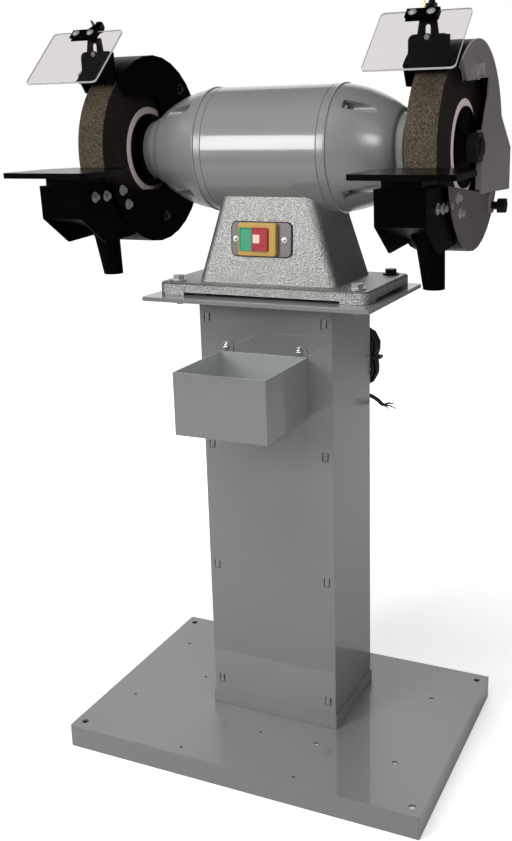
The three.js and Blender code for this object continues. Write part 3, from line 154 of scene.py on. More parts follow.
def maths(tree, operation, *values, kind="Math"):
    """The result of a Math or VectorMath node."""
    return node_in(tree, f"ShaderNode{kind}", dict(enumerate(values)), operation=operation).outputs[0]


def effect(name, inputs, outputs):
    """An empty shader node group with named inputs and outputs."""
    group = bpy.data.node_groups.new(name, "ShaderNodeTree")
    for title, kind, value in inputs:
        socket = group.interface.new_socket(title, in_out="INPUT", socket_type=f"NodeSocket{kind}")
        socket.default_value = value
    for title, kind in outputs:
        group.interface.new_socket(title, in_out="OUTPUT", socket_type=f"NodeSocket{kind}")
    return group, group.nodes.new("NodeGroupInput").outputs, group.nodes.new("NodeGroupOutput").inputs


def finish_of(name, colour, roughness, metallic=0.0, **sockets):
    """A material with its plain values on the shader's own sockets."""
    material = bpy.data.materials.new(name)
    material.use_nodes = True
    skin = material.node_tree.nodes["Principled BSDF"].inputs
    skin["Base Color"].default_value = (*colour, 1)
    skin["Roughness"].default_value = roughness
    skin["Metallic"].default_value = metallic
    for socket, value in sockets.items():
        skin[socket.replace("_", " ")].default_value = value
    return material


# The skin shared by paint, plastic, rubber and bright metal: slow patches in the colour and gloss,
# and a fine grain in the surface.
skin_group, given, gives = effect("surface_skin", [
    ("Colour", "Color", (0.5, 0.5, 0.5, 1)), ("Patch", "Float", 0.06), ("Grain Scale", "Float", 700.0),
    ("Grain Height", "Float", 0.1), ("Roughness", "Float", 0.3), ("Gloss Change", "Float", 0.06)],
    [("Colour", "Color"), ("Roughness", "Float"), ("Normal", "Vector")])
coords = node_in(skin_group, "ShaderNodeTexCoord").outputs["Object"]
slow = node_in(skin_group, "ShaderNodeTexNoise", {"Vector": coords, "Scale": 11.0, "Detail": 4.0})
swing = maths(skin_group, "SUBTRACT", slow.outputs["Fac"], 0.5)
light = maths(skin_group, "MULTIPLY_ADD", swing, given["Patch"], 1.0)
tint = node_in(skin_group, "ShaderNodeVectorMath", {0: given["Colour"], "Scale": light}, operation="SCALE")
dull = maths(skin_group, "MULTIPLY_ADD", swing, given["Gloss Change"], given["Roughness"])
grain = node_in(skin_group, "ShaderNodeTexNoise",
                {"Vector": coords, "Scale": given["Grain Scale"], "Detail": 2.0})
bump = node_in(skin_group, "ShaderNodeBump",
               {"Height": grain.outputs["Fac"], "Strength": given["Grain Height"], "Distance": 0.0006})
skin_group.links.new(tint.outputs[0], gives["Colour"])
skin_group.links.new(dull, gives["Roughness"])
skin_group.links.new(bump.outputs[0], gives["Normal"])


def coated(name, colour, roughness, metallic=0.0, patch=0.1, grain=700.0, height=0.08, change=0.08,
           **sockets):
    """A material whose colour, gloss and grain come from the surface skin."""
    material = finish_of(name, colour, roughness, metallic, **sockets)
    tree = material.node_tree
    skin = node_in(tree, "ShaderNodeGroup", node_tree=skin_group)
    for key, value in {"Colour": (*colour, 1), "Patch": patch, "Grain Scale": grain, "Grain Height": height,
                       "Roughness": roughness, "Gloss Change": change}.items():
        skin.inputs[key].default_value = value
    principled = tree.nodes["Principled BSDF"].inputs
    tree.links.new(skin.outputs["Colour"], principled["Base Color"])
    tree.links.new(skin.outputs["Roughness"], principled["Roughness"])
    tree.links.new(skin.outputs["Normal"], principled["Normal"])
    return material


def recoloured(material, mask, colour):
    """Gives a coated material another colour where the mask is 1."""
    tree = material.node_tree
    base = tree.nodes["Principled BSDF"].inputs["Base Color"]
    tone = node_in(tree, "ShaderNodeMix", {0: mask, 6: base.links[0].from_socket, 7: (*colour, 1)},
                   data_type="RGBA")
    tree.links.new(tone.outputs[2], base)


sheath = coated("cord_sheath", (0.012, 0.012, 0.012), 0.42, patch=0.3, grain=500.0, height=0.12)
supply_cord = wire("supply_cord", cord_line, cord_radius, 5)
supply_cord.data.materials.append(sheath)
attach(supply_cord, "stand")
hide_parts("power_cord", "cord_hank", "cord_tail")

# Bare end of the cord: the sheath is stripped and five insulated conductors fan out, each with its
# copper strands bared.
core_colours = {"brown": (0.09, 0.035, 0.015), "black": (0.015, 0.015, 0.015), "grey": (0.18, 0.18, 0.18),
                "blue": (0.02, 0.05, 0.2), "green": (0.16, 0.24, 0.03)}
core_ends = [(167, 153, 621), (169, 160, 617), (170, 156, 611), (168, 163, 607), (163, 150, 606)]
copper = coated("tinned_copper", (0.6, 0.54, 0.48), 0.38, metallic=1.0, patch=0.2, grain=900.0, height=0.2)
core_radius, strand_radius = 0.00125, 0.0008
fan_middle, root_share = Vector((166, 157, 612)), 0.14
in_sheath, core_bow = Vector((-5, 0, 3.2)), Vector((0, 0, 2.5))
for (colour, value), tip in zip(core_colours.items(), core_ends):
    root = Vector(tail_points[-1]) + (Vector(tip) - fan_middle) * root_share
    middle = root.lerp(Vector(tip), 0.5) + core_bow
    core_line = smooth_route([root + in_sheath, root, middle, tip], 6)
    route = [p / 1000 + stand_shift for p in core_line]
    core = wire(f"conductor_{colour}", route[:-4], core_radius, 3)
    core.data.materials.append(coated(f"{colour}_insulation", value, 0.4, patch=0.1, grain=900.0))
    strands = wire(f"strands_{colour}", route[-5:], strand_radius, 2)
    strands.data.materials.append(copper)
    for piece in (core, strands):
        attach(piece, "stand")


def fresh(adder, name, turned=(0, 0, 0), **size):
    """Adds a primitive at its size and place and leaves it selected alone."""
    bpy.ops.object.select_all(action="DESELECT")
    adder(rotation=turned, **size)
    piece = bpy.context.object
    piece.name = name
    piece.data.name = name
    bpy.ops.object.transform_apply(location=True, rotation=True, scale=True)
    return piece


def choose(*pieces):
    """Selects these pieces alone, with the first of them active."""
    bpy.ops.object.select_all(action="DESELECT")
    for piece in pieces:
        piece.select_set(True)
    bpy.context.view_layer.objects.active = pieces[0]


def edit(piece, mode, test):
    """Selects the corners, edges or faces that pass the test, in edit mode."""
    mesh = piece.data
    for items in (mesh.vertices, mesh.edges, mesh.polygons):
        items.foreach_set("select", [False] * len(items))
    corner = [v.co for v in mesh.vertices]
    if mode == "VERT":
        chosen = [v for v in mesh.vertices if test(v.co)]
    elif mode == "EDGE":
        chosen = [e for e in mesh.edges if test(corner[e.vertices[0]], corner[e.vertices[1]])]
    else:
        chosen = [f for f in mesh.polygons if test(f.center, f.normal)]
    for item in chosen:
        item.select = True
        for index in getattr(item, "vertices", ()):
            mesh.vertices[index].select = True
    bpy.context.view_layer.objects.active = piece
    bpy.ops.object.mode_set(mode="EDIT")
    bpy.ops.mesh.select_mode(type=mode)


def done():
    """Leaves edit mode."""
    bpy.ops.object.mode_set(mode="OBJECT")


def put(piece, matrix):
    """Moves a finished mesh to its place; the object stays at the origin."""
    piece.data.transform(matrix)
    if matrix.determinant() < 0:
        piece.data.flip_normals()
    return piece


def turned_piece(name, profile, sides=96):
    """Rings drawn out one after another along +Z from a circle; the profile lists (height, radius)."""
    height, radius = profile[0]
    piece = fresh(bpy.ops.mesh.primitive_circle_add, name, vertices=sides, radius=radius,
                  location=(0, 0, height))
    edit(piece, "EDGE", lambda a, b: True)
    for (h0, r0), (h1, r1) in zip(profile, profile[1:]):
        bpy.ops.mesh.extrude_region_move(TRANSFORM_OT_translate={"value": (0, 0, h1 - h0)})
        bpy.ops.transform.resize(value=(r1 / r0, r1 / r0, 1), center_override=(0, 0, h1))
    if profile[0] != profile[-1]:
        bpy.ops.mesh.edge_face_add()
        done()
        edit(piece, "EDGE", lambda a, b: abs(a.z - height) < 1e-6 and abs(b.z - height) < 1e-6)
        bpy.ops.mesh.edge_face_add()
    bpy.ops.mesh.select_all(action="SELECT")
    bpy.ops.mesh.remove_doubles(threshold=1e-6)
    bpy.ops.mesh.normals_make_consistent(inside=False)
    done()
    return piece


def apply_modifier(piece, kind, **settings):
    """Finishes a piece with a modifier and applies it."""
    made = piece.modifiers.new(kind.lower(), kind)
    for key, value in settings.items():
        setattr(made, key, value)
    choose(piece)
    bpy.ops.object.modifier_apply(modifier=made.name)


def dressed(piece, material, body, smooth=32):
    """Gives a finished piece its material, its shading and the body that it rides on."""
    piece.data.materials.clear()
    piece.data.materials.append(material)
    choose(piece)
    bpy.ops.object.shade_smooth_by_angle(angle=math.radians(smooth))
    apply_modifier(piece, "WEIGHTED_NORMAL", keep_sharp=True)
    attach(piece, body)
    return piece


# Cable gland on the back of the foot: a hexagon body, a domed nut and a ribbed rubber sleeve that
# tapers onto the cord and keeps it from kinking.
gland_x, gland_z = 0.0461, 0.9048
gland_place = Matrix.Translation((gland_x, 0, gland_z)) @ Matrix.Rotation(-math.pi / 2, 4, "X")
first_rib, rib_step, rib_count = 0.1626, 0.0034, 6
sleeve_radius, sleeve_taper, groove = 0.0075, 0.00042, 0.0007
ribs = []
for i in range(rib_count):
    at, wide = first_rib + rib_step * i, sleeve_radius - sleeve_taper * i
    ribs += [(at, wide), (at + rib_step / 2, wide - groove)]
sleeve_profile = [(0.1320, sleeve_radius), (0.1500, 0.0082), *ribs, (0.1850, 0.0046)]
gland = turned_piece("gland_sleeve", sleeve_profile, 48)
gland_rubber = coated("gland_rubber", (0.02, 0.02, 0.021), 0.45, grain=500.0)
dressed(put(gland, gland_place), gland_rubber, "stand")
gland_nylon = coated("gland_nylon", (0.018, 0.018, 0.02), 0.36, grain=400.0, height=0.05)


# Studio: a pale floor that runs into a white background. A tall softbox on the left draws the bright
# line along the motor, a narrow lamp the spot on the right bell, and three wide ones fill the front,
# the right and the back. A card behind is mirrored in the tops of the guards and of the base.
floor = fresh(bpy.ops.mesh.primitive_plane_add, "studio_floor", size=24, location=(0, 0, -0.0005))
pale_floor = finish_of("pale_floor", (0.82, 0.82, 0.82), 0.9)
tree = pale_floor.node_tree
rays = node_in(tree, "ShaderNodeLightPath").outputs
coords = node_in(tree, "ShaderNodeTexCoord").outputs["Object"]
away = node_in(tree, "ShaderNodeVectorMath", {0: coords}, operation="LENGTH").outputs["Value"]
near_edge, far_edge, near_glow = 0.5, 2.0, 0.5
far = node_in(tree, "ShaderNodeMapRange", {"Value": away, "From Min": near_edge, "From Max": far_edge,
                                           "To Min": near_glow, "To Max": 1.0})
seen = maths(tree, "MAXIMUM", rays["Is Camera Ray"], rays["Is Transmission Ray"])
lift = maths(tree, "MULTIPLY", seen, far.outputs[0])
glow = node_in(tree, "ShaderNodeEmission", {"Color": (1, 1, 1, 1), "Strength": lift})
bare_floor = tree.nodes["Principled BSDF"].outputs[0]
both = node_in(tree, "ShaderNodeAddShader", {0: bare_floor, 1: glow.outputs[0]})
tree.links.new(both.outputs[0], tree.nodes["Material Output"].inputs["Surface"])
floor.data.materials.append(pale_floor)

world = bpy.data.worlds.new("white_studio")
scene.world = world
world.use_nodes = True
tree = world.node_tree
rays = node_in(tree, "ShaderNodeLightPath").outputs
room_light, mirrored_room = 0.12, 0.06
seen = maths(tree, "MAXIMUM", rays["Is Camera Ray"], rays["Is Transmission Ray"])
dim = maths(tree, "MULTIPLY_ADD", rays["Is Glossy Ray"], mirrored_room - room_light, room_light)
strength = maths(tree, "MAXIMUM", seen, dim)
tree.nodes["Background"].inputs["Color"].default_value = (1, 1, 1, 1)
tree.links.new(strength, tree.nodes["Background"].inputs["Strength"])

for name, spot, aim, size, power, lights, mirrored in (
        ("tall_softbox", (-1.27, -2.6, 1.72), (0, 0, 1.1), (0.75, 1.2), 35, True, True),
        ("bell_lamp", (1.34, -1.6, 1.84), (0, 0, 1.1), (0.36, 1.0), 10, True, True),
        ("high_softbox", (-0.4, -1.1, 2.9), (0, 0, 0.5), (1.6, 1.4), 36, True, False),
        ("side_softbox", (2.3, -0.45, 1.15), (0, 0, 0.6), (1.0, 1.0), 7, True, False),
        ("back_softbox", (-0.6, 2.7, 1.0), (0, 0, 0.7), (2.0, 1.6), 38, True, False),
        ("back_card", (-1.1, 2.3, 1.8), (0, 0, 0.8), (2.2, 2.0), 14, False, True)):
    lamp = bpy.data.lights.new(name, "AREA")
    lamp.shape = "ELLIPSE" if name == "bell_lamp" else "RECTANGLE"
    lamp.size, lamp.size_y = size
    lamp.energy = power
    holder = bpy.data.objects.new(name, lamp)
    scene.collection.objects.link(holder)
    away = Vector(spot) - Vector(aim)
    holder.matrix_world = Matrix.Translation(spot) @ away.to_track_quat("Z", "Y").to_matrix().to_4x4()
    holder.visible_camera = False
    holder.visible_diffuse = lights
    holder.visible_glossy = mirrored
    holder.visible_transmission = False


# Stand: base tray, column, top plate and water pot, folded from steel sheet and sprayed with one
# glossy grey paint that mirrors what stands on it. The sheet's edges are only slightly broken.
def dress(name, material, edge=0.0005, steps=2):
    """Gives a node its finish, broken edges and smooth round faces."""
    node = nodes[name]
    node.data.materials.clear()
    node.data.materials.append(material)
    node.data.polygons.foreach_set("use_smooth", [True] * len(node.data.polygons))
    node.modifiers.new("joined", "WELD").merge_threshold = 1e-5
    flat = node.modifiers.new("flat", "DECIMATE")
    flat.decimate_type = "DISSOLVE"
    flat.angle_limit = math.radians(0.6)
    broken = node.modifiers.new("edges", "BEVEL")
    broken.width = edge
    broken.segments = steps
    broken.limit_method = "ANGLE"
    broken.angle_limit = math.radians(32)
    node.modifiers.new("shading", "WEIGHTED_NORMAL").keep_sharp = False


stand_grey, stand_dullness = (0.218, 0.228, 0.22), 0.35
stand_gloss = {"patch": 0.06, "grain": 420.0, "height": 0.05, "change": 0.04, "Coat_Weight": 0.8,
               "Coat_Roughness": 0.03}
stand_paint = coated("stand_grey_gloss", stand_grey, stand_dullness, **stand_gloss)
dress("base_plate", stand_paint, 0.0012, 3)
for name in ("column_shell", "column_front_panel", "column_foot_band"):
    dress(name, stand_paint)
dress("stand_top_plate", stand_paint, 0.003, 4)
dress("cord_tie", coated("tie_nylon", (0.03, 0.03, 0.03), 0.4), 0.0004)
dress("cord_gland", gland_nylon, 0.0006)

# Water pot: folded from the same sheet and left open on top. Its inside is painted paler than its outside:
# painted light that lifts the shade inside the pot.
pot_low, pot_high = (Vector(corner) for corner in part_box("water_pot"))
pot_rim, half_sheet = 0.7484, 0.001
room_low = pot_low + Vector((half_sheet, half_sheet, half_sheet))
room_high = Vector((pot_high.x - half_sheet, pot_high.y, pot_rim + half_sheet))
pot_paint_with_painted_light = coated("pot_grey_gloss", stand_grey, stand_dullness, **stand_gloss)
tree = pot_paint_with_painted_light.node_tree
coords = node_in(tree, "ShaderNodeTexCoord").outputs["Object"]
from_low = maths(tree, "SUBTRACT", coords, room_low, kind="VectorMath")
from_high = maths(tree, "SUBTRACT", room_high, coords, kind="VectorMath")
least = maths(tree, "MINIMUM", from_low, from_high, kind="VectorMath")
depths = node_in(tree, "ShaderNodeSeparateXYZ", {0: least}).outputs
depth = maths(tree, "MINIMUM", maths(tree, "MINIMUM", depths[0], depths[1]), depths[2])
# Painted light: the inside of the pot gets a paler grey to make up for the shade that falls in it.
recoloured(pot_paint_with_painted_light, maths(tree, "GREATER_THAN", depth, 0.0), (0.42, 0.44, 0.425))
dress("water_pot", pot_paint_with_painted_light)

# Lances: tongues pressed out of the front panel that hook it into the column's return lips. Each
# stands a little proud at its lower end and is painted with the stand.
column_front, column_foot, panel_height = -0.0297, 0.0431, 0.7966
tongue_size, tongue_sunk, tongue_rise, tongue_lift = (0.0076, 0.0024, 0.0128), 0.0008, 0.0002, 0.0012
lance_height_shares = (0.068, 0.368, 0.666, 0.959)
for i, share in enumerate(lance_height_shares):
    for name, x in (("left", -0.1249), ("right", 0.0971)):
        z = column_foot + share * panel_height
        tongue = fresh(bpy.ops.mesh.primitive_cube_add, f"lance_tongue_{name}_{i}", size=1,
                       scale=tongue_size, location=(x, column_front + tongue_sunk, z + tongue_rise))
        edit(tongue, "VERT", lambda v: v.y < column_front and v.z < z)
        bpy.ops.transform.translate(value=(0, -tongue_lift, 0))
        done()
        apply_modifier(tongue, "BEVEL", width=0.0004, segments=2)
        dressed(tongue, stand_paint, "stand")

# Pan-head screws with washers that hold the water pot's ears to the column.
bright_steel = coated("bright_steel", (0.62, 0.63, 0.64), 0.28, metallic=1.0, patch=0.15, grain=900.0,
                      height=0.1, change=0.2)


def hollowed(piece, tool):
    """Cuts a piece with a tool, which is used up."""
    apply_modifier(piece, "BOOLEAN", object=tool, operation="DIFFERENCE")
    bpy.data.objects.remove(tool)
    return piece


def with_washer(head, wide, narrow, thickness, sides):
    """Joins a washer under the head of a screw or bolt."""
    disc = turned_piece("washer_disc", [(0, wide), (thickness * 0.8, wide), (thickness, narrow)], sides)
    choose(head, disc)
    bpy.ops.object.join()
    return head


def pan_screw(name, radius, height, washer):
    """A slotted pan-head screw on a washer, standing up from z = 0."""
    head = turned_piece(name, [(washer, radius), (washer + 0.5 * height, radius * 0.97),
                               (washer + 0.85 * height, radius * 0.75),
                               (washer + height, radius * 0.35)], 32)
    hollowed(head, fresh(bpy.ops.mesh.primitive_cube_add, "slot_tool", size=1,
                         scale=(radius * 3, radius * 0.26, height), location=(0, 0, washer + height * 0.95)))
    return with_washer(head, radius * 1.45, radius * 1.35, washer, 32)


def copied(source, name, matrix):
    """A copy with its own mesh, moved to its place."""
    piece = bpy.data.objects.new(name, source.data.copy())
    scene.collection.objects.link(piece)
    return put(piece, matrix)


facing = {"front": Matrix.Rotation(math.pi / 2, 4, "X"), "right": Matrix.Rotation(math.pi / 2, 4, "Y"),
          "left": Matrix.Rotation(-math.pi / 2, 4, "Y")}
screw = pan_screw("pan_screw_model", 0.0052, 0.0034, 0.0012)
ear_front, ear_hole_rise = -0.0320, 0.0100
for name, x in (("left", -0.0879), ("right", 0.0521)):
    at = Matrix.Translation((x, ear_front, pot_rim + ear_hole_rise))
    piece = copied(screw, f"pot_screw_{name}", at @ facing["front"])
    dressed(piece, bright_steel, "stand")


# Foot of the grinder: a hollow iron casting with a hammered silver enamel, whose cells run a few
# millimetres wide. Bolts with washers hold its flange to the top plate.
hammer_group, given, gives = effect(
    "hammered_enamel", [("Cell Scale", "Float", 520.0), ("Depth", "Float", 0.5)],
    [("Mask", "Float"), ("Normal", "Vector")])
coords = node_in(hammer_group, "ShaderNodeTexCoord").outputs["Object"]
swirl = node_in(hammer_group, "ShaderNodeTexNoise", {"Vector": coords, "Scale": 260.0, "Detail": 1.0})
push = node_in(hammer_group, "ShaderNodeVectorMath", {0: swirl.outputs["Color"], "Scale": 0.0022},
               operation="SCALE")
bent = maths(hammer_group, "ADD", coords, push.outputs[0], kind="VectorMath")
cells = node_in(hammer_group, "ShaderNodeTexVoronoi", {"Vector": bent, "Scale": given["Cell Scale"]},
                feature="SMOOTH_F1")
dents = node_in(hammer_group, "ShaderNodeMapRange",
                {"Value": cells.outputs["Distance"], "From Min": 0.1, "From Max": 0.65})
press = node_in(hammer_group, "ShaderNodeBump",
                {"Height": dents.outputs[0], "Strength": given["Depth"], "Distance": 0.0009})
hammer_group.links.new(dents.outputs[0], gives["Mask"])
hammer_group.links.new(press.outputs[0], gives["Normal"])

hammered = finish_of("hammered_silver", (0.5, 0.5, 0.49), 0.46, 0.92)
tree = hammered.node_tree
enamel = node_in(tree, "ShaderNodeGroup", node_tree=hammer_group)
enamel.inputs["Cell Scale"].default_value = 520.0
enamel.inputs["Depth"].default_value = 0.6
silver, dent_grey = (0.72, 0.72, 0.7, 1), (0.36, 0.36, 0.35, 1)
tone = node_in(tree, "ShaderNodeMix", {0: enamel.outputs["Mask"], 6: silver, 7: dent_grey}, data_type="RGBA")
tree.links.new(tone.outputs[2], tree.nodes["Principled BSDF"].inputs["Base Color"])
tree.links.new(enamel.outputs["Normal"], tree.nodes["Principled BSDF"].inputs["Normal"])
dress("grinder_foot", hammered, 0.002, 3)
silver_bolt = coated("silvered_bolt", (0.5, 0.5, 0.5), 0.32, metallic=0.6, grain=500.0)
black_bolt = coated("blackened_bolt", (0.02, 0.02, 0.021), 0.3, metallic=0.3, grain=600.0)
dark_steel = coated("dark_steel", (0.13, 0.13, 0.13), 0.3, metallic=1.0, patch=0.2, grain=600.0)
dull_zinc = coated("dull_zinc", (0.5, 0.5, 0.5), 0.3, metallic=0.6, patch=0.2, grain=700.0)
for place in ("front", "rear"):
    for name in ("left", "right"):
        dress(f"foot_bolt_{place}_{name}", silver_bolt if place == "front" else black_bolt, 0.0008, 3)


# Switch: a grey moulded plate on a dark gasket, a yellow shroud, a sunk green start button and a
# proud red stop button with a pale lens. It stands square to the sloping front of the foot.
switch_place = Matrix.Translation((-0.0204, -0.0154, 0.9450)) @ Matrix.Rotation(math.radians(-4.12), 4, "X")


def moulding(name, left, right, low, high, front, back, corner, edge):
    """A block with round upright corners and softened edges, facing -Y."""
    piece = fresh(bpy.ops.mesh.primitive_cube_add, name, size=1,
                  scale=(right - left, back - front, high - low),
                  location=((left + right) / 2, (front + back) / 2, (low + high) / 2))
    edit(piece, "EDGE", lambda a, b: abs(a.y - b.y) > 1e-6)
    bpy.ops.mesh.bevel(offset=corner, segments=8, affect="EDGES")
    done()
    edit(piece, "FACE", lambda c, n: n.y < -0.9)
    bpy.ops.mesh.bevel(offset=edge, segments=3, affect="EDGES")
    done()
    return piece


bezel = moulding("switch_plate", -0.0555, 0.0555, -0.0285, 0.0285, -0.0033, -0.0012, 0.009, 0.0008)
gasket = moulding("switch_gasket", -0.0571, 0.0571, -0.0301, 0.0301, -0.0026, -0.0003, 0.0105, 0.0006)
shroud = moulding("switch_shroud", -0.0395, 0.0315, -0.028, 0.028, -0.0126, -0.0036, 0.005, 0.0018)
hollowed(shroud, moulding("pocket_tool", -0.0370, 0.0184, -0.0198, 0.0198, -0.02, 0.0, 0.003, 0.0005))
start_cap = moulding("start_cap", -0.0367, -0.0117, -0.0195, 0.0195, -0.0141, -0.0066, 0.002, 0.0012)
edit(start_cap, "FACE", lambda c, n: n.y < -0.9)
bpy.ops.mesh.inset(thickness=0.0022)
bpy.ops.transform.translate(value=(0, 0.0016, 0))
done()
stop_cap = moulding("stop_cap", -0.0114, 0.0181, -0.0195, 0.0195, -0.0161, -0.0066, 0.002, 0.0012)
edit(stop_cap, "FACE", lambda c, n: n.y < -0.9)
bpy.ops.mesh.inset(thickness=0.0016)
bpy.ops.transform.translate(value=(0, 0.0006, 0))
done()
stop_lens = moulding("stop_lens", -0.0098, 0.0030, -0.0062, 0.0082, -0.0161, -0.0150, 0.0012, 0.0004)
# Painted highlight: a pale ring round the stop button's pocket stands in for light caught on the edge of a
# clear rim.
painted_rim_highlight = moulding("stop_rim_painted_highlight", -0.0370, 0.0187, -0.0202, 0.0202, -0.0122, -0.0080, 0.003, 0.0003)
hollowed(painted_rim_highlight, moulding("trim_tool", -0.0372, 0.01835, -0.0197, 0.0197, -0.02, 0.0, 0.002, 0.0003))
cap_look = {"grain": 400.0, "height": 0.04, "Specular_IOR_Level": 0.3}
switch_looks = (
    (bezel, "stand", "bright_steel",
     coated("switch_grey", (0.17, 0.158, 0.162), 0.4, metallic=0.2, grain=600.0, height=0.15)),
    (gasket, "stand", "black_paint", coated("gasket_rubber", (0.015, 0.015, 0.015), 0.55)),
    (shroud, "stand", "yellow_plastic", coated("shroud_yellow", (0.5, 0.3, 0.055), 0.42, grain=500.0)),
    (painted_rim_highlight, "stand", "yellow_plastic", coated("rim_painted_highlight", (0.75, 0.5, 0.38), 0.35)),
    (start_cap, "start_button", "green_plastic", coated("start_green", (0.05, 0.34, 0.18), 0.4, **cap_look)),
    (stop_cap, "stop_button", "red_plastic", coated("stop_red", (0.38, 0.025, 0.03), 0.4, **cap_look)),
    (stop_lens, "stop_button", "red_plastic",
     coated("lens_pale", (0.85, 0.6, 0.52), 0.4, grain=400.0, height=0.04)))
for piece, body, slot, material in switch_looks:
    dressed(put(piece, switch_place), material, body)
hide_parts("switch_frame")
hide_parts("start_button")
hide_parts("stop_button")
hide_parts("switch_bezel")
plate_front, slot_turn, switch_screw_size = -0.0033, 0.7, 0.62
for name, x in (("left", -0.0475), ("right", 0.0435)):
    at = switch_place @ Matrix.Translation((x, plate_front, 0)) @ facing["front"]
    piece = copied(screw, f"switch_screw_{name}",
                   at @ Matrix.Rotation(slot_turn, 4, "Z") @ Matrix.Scale(switch_screw_size, 4))
    dressed(piece, bright_steel, "stand")
bpy.data.objects.remove(screw)


# Motor: a drawn shell between two cast end bells. Each bell has a raised bead next to the joint,
# a dome, a stepped neck round the bearing and four pockets for the long tie bolts.
motor_middle = -0.0139
shaft_y, shaft_z = 0.0625, 1.0914
shaft_line = Matrix.Translation((motor_middle, shaft_y, shaft_z)) @ facing["right"]
motor_grey = (0.215, 0.224, 0.217)
casting_look = {"patch": 0.04, "grain": 330.0, "height": 0.22, "change": 0.02, "Coat_Weight": 1.0}
motor_paint = coated("motor_grey", motor_grey, 0.36, Coat_Roughness=0.1, **casting_look)
shell_end, shell_inside, shell_outside, shell_edge = 0.105, 0.0995, 0.105, 0.0007
shell_profile = [(-shell_end, shell_inside), (-shell_end, shell_outside - shell_edge),
                 (-shell_end + shell_edge, shell_outside), (shell_end - shell_edge, shell_outside),
                 (shell_end, shell_outside - shell_edge), (shell_end, shell_inside),
                 (-shell_end, shell_inside)]
shell = turned_piece("motor_shell_round", shell_profile, 160)
dressed(put(shell, shaft_line), motor_paint, "stand")
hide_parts("motor_shell")

dome_points = [(0.1217, 0.105), (0.1428, 0.101), (0.1678, 0.0937), (0.2028, 0.0768), (0.2188, 0.0655)]
dome_line = smooth_route([(h, r, 0) for h, r in dome_points], 6)
bell_profile = [(0.1053, 0.0995), (0.1053, 0.1043), (0.1060, 0.105), (0.1172, 0.105), (0.1180, 0.1064),
                (0.1190, 0.1069), (0.1203, 0.1069), (0.1211, 0.1063), *[(p.x, p.y) for p in dome_line],
                (0.2205, 0.0633), (0.2215, 0.0600), (0.2220, 0.0580), (0.2235, 0.0573), (0.2335, 0.0568),
                (0.2345, 0.0560), (0.2352, 0.0535), (0.2365, 0.0530), (0.2490, 0.0510), (0.2499, 0.0500),
                (0.2499, 0.024), (0.2256, 0.024), (0.2256, 0.0403), (0.2040, 0.0403), (0.2040, 0.046),
                (0.1393, 0.070), (0.1273, 0.094), (0.1053, 0.0995)]
bell = turned_piece("bell_model", bell_profile, 160)
tie_bolt_ring, pocket_mouth_ring, pocket_floor, pocket_radius = 0.0910, 0.0985, 0.1393, 0.0090
tie_bolt_turns = (45, 135, 225, 315)
for degrees in tie_bolt_turns:
    t = math.radians(degrees)
    for out in (tie_bolt_ring, pocket_mouth_ring):
        tool = turned_piece("pocket_tool", [(pocket_floor, 0.0072), (0.1410, pocket_radius),
                                            (0.2053, pocket_radius)], 32)
        hollowed(bell, put(tool, Matrix.Translation((out * math.cos(t), out * math.sin(t), 0))))
apply_modifier(bell, "BEVEL", width=0.0007, segments=2, limit_method="ANGLE", angle_limit=math.radians(40))


def end_line(side):
    """The shaft's line with +Z out of the motor's left or right end."""
    return shaft_line if side > 0 else shaft_line @ Matrix.Rotation(math.pi, 4, "X")


def hex_bolt(name, flats, head, washer):
    """A hexagon head with chamfered corners on a washer, standing up from z = 0."""
    piece = fresh(bpy.ops.mesh.primitive_cylinder_add, name, vertices=6, radius=flats / math.sqrt(3),
                  depth=head, location=(0, 0, washer + head / 2))
    edit(piece, "FACE", lambda c, n: n.z > 0.9)
    bpy.ops.mesh.inset(thickness=flats * 0.07)
    bpy.ops.transform.translate(value=(0, 0, flats * 0.03))
    done()
    apply_modifier(piece, "BEVEL", width=flats * 0.025, segments=2)
    return with_washer(piece, flats * 0.9, flats * 0.86, washer, 36)


bell_paint = coated("bell_grey", motor_grey, 0.2, Coat_Roughness=0.34, **casting_look)
bolt_flats, bolt_head, bolt_washer = 0.010, 0.0055, 0.0014
bolt = hex_bolt("hex_bolt_model", bolt_flats, bolt_head, bolt_washer)
for name, side in (("left", -1), ("right", 1)):
    piece = copied(bell, f"bell_{name}", end_line(side))
    dressed(piece, bell_paint, "stand")
    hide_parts(f"end_bell_{name}")
    for i, degrees in enumerate(tie_bolt_turns):
        t = math.radians(degrees)
        at = Matrix.Translation((tie_bolt_ring * math.cos(t), tie_bolt_ring * math.sin(t), pocket_floor))
        piece = copied(bolt, f"bell_bolt_{name}_{i}", end_line(side) @ at)
        dressed(piece, motor_paint, "stand")
bpy.data.objects.remove(bell)
dress("stator_core", coated("wound_stator", (0.3, 0.13, 0.06), 0.45, metallic=0.5), 0.0004)
for name in ("rotor_core", "bearing_left", "bearing_right"):
    dress(name, bright_steel, 0.0004)
dress("motor_shaft", coated("oiled_shaft", (0.03, 0.028, 0.026), 0.34, metallic=0.8, patch=0.3), 0.0004)


# Grinding wheels: vitrified abrasive with a coarse open grain. The tread is dressed to a pale tan,
# the flanks keep the dark tone of the mould, and a paper disc lies under each steel flange.
def across_shaft(name, profile, side, sides=128):
    """A turned piece on the shaft of the left or right end."""
    return put(turned_piece(name, profile, sides), end_line(side))


